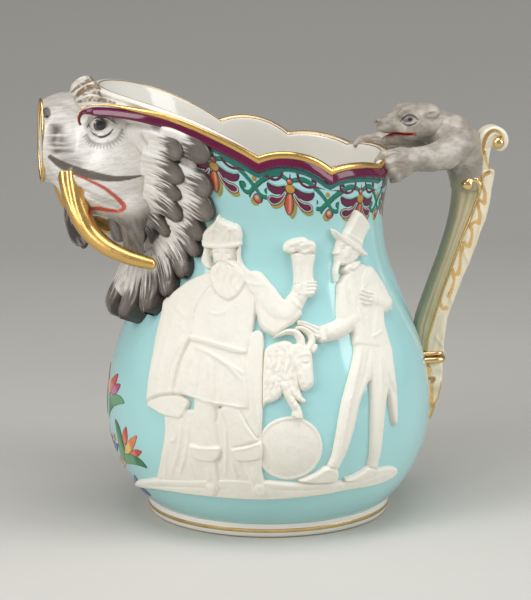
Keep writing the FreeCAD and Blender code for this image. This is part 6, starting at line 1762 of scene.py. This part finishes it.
def make_stage():
    """Pale paper that runs along the floor and bends up behind, with painted shade that darkens it further back and
    towards its top.
    """
    line = [(y, 0.0) for y in (-2.2, -1.2, -0.6)] + [(y, 0.0) for y in np.arange(-0.4, 0.71, 0.05)]
    line += [(0.75 + 0.75 * math.sin(a), 0.75 - 0.75 * math.cos(a)) for a in np.linspace(0.05, math.pi / 2, 32)]
    line += [(1.5, 1.4), (1.5, 2.6)]
    across = np.linspace(-2.6, 2.6, 9)
    turn = math.radians(-10.0)
    flat = np.array([[(x, y, z) for x in across] for y, z in line])
    rows = flat.copy()
    rows[..., 0] = flat[..., 0] * math.cos(turn) - flat[..., 1] * math.sin(turn)
    rows[..., 1] = flat[..., 0] * math.sin(turn) + flat[..., 1] * math.cos(turn)
    shade = np.interp(flat[..., 1].ravel(), *zip(*BACKDROP))
    tone = shade[:, None] * np.array([1.0, 0.972, 0.905])
    verts = rows.reshape(-1, 3)
    mesh = bpy.data.meshes.new("floor")
    mesh.from_pydata([tuple(v) for v in verts], [], [tuple(f) for f in grid_faces(len(line), len(across))])
    layer = mesh.color_attributes.new("paint", "FLOAT_COLOR", "POINT")
    layer.data.foreach_set("color", np.c_[tone, np.ones(len(tone))].astype(np.float32).ravel())
    mesh.polygons.foreach_set("use_smooth", np.ones(len(mesh.polygons), bool))
    floor = bpy.data.objects.new("floor", mesh)
    bpy.context.scene.collection.objects.link(floor)
    mesh.materials.append(finish("paper", None, 0.8, mottle=0.015, grain=3.0, bump=0.02, bump_grain=800.0,
                                 specular=0.1))


def area_light(name, place, target, size, power, colour=(1, 1, 1), height=None):
    light = bpy.data.lights.new(name, "AREA")
    light.energy, light.color = power, colour
    light.shape, light.size, light.size_y = "RECTANGLE", size, height or size
    item = bpy.data.objects.new(name, light)
    item.location = place
    item.rotation_euler = (Vector(target) - Vector(place)).to_track_quat("-Z", "Y").to_euler()
    bpy.context.scene.collection.objects.link(item)


def make_light():
    world = bpy.data.worlds.new("studio")
    world.use_nodes = True
    world.node_tree.nodes["Background"].inputs["Color"].default_value = (0.93, 0.96, 1.0, 1)
    world.node_tree.nodes["Background"].inputs["Strength"].default_value = 0.36
    bpy.context.scene.world = world
    bpy.context.scene.view_settings.view_transform = "Standard"
    target = (0, 0, 0.12)
    area_light("key", (-1.5, -0.9, 1.05), target, 0.9, 19.0, (1.0, 0.99, 0.975), 1.2)
    area_light("fill", (1.45, -0.75, 0.8), target, 0.8, 12.5, (0.98, 0.99, 1.0), 1.2)
    area_light("top", (0.0, -0.35, 1.7), target, 1.2, 14.5, (1.0, 1.0, 1.0))


def make_camera():
    azimuth, elevation = math.radians(-10.0), math.radians(12.1)
    right = Vector((math.cos(azimuth), math.sin(azimuth), 0))
    back = Vector((math.sin(azimuth) * math.cos(elevation), -math.cos(azimuth) * math.cos(elevation),
                   math.sin(elevation)))
    target = Vector((0, 0, 0.1177)) - right * 0.001665
    camera = bpy.data.cameras.new("camera")
    camera.lens, camera.sensor_width = 180.0, 36.0
    camera.clip_start, camera.clip_end = 0.05, 20.0
    item = bpy.data.objects.new("camera", camera)
    item.location = target + back * 1.665
    item.rotation_euler = (target - item.location).to_track_quat("-Z", "Y").to_euler()
    bpy.context.scene.collection.objects.link(item)
    bpy.context.scene.camera = item


make_vessel()
make_foot()
make_rim()
make_frieze()
make_walrus()
make_mane()
make_bear()
make_handle()
make_border()
make_flowers()
make_stage()
make_light()
make_camera()
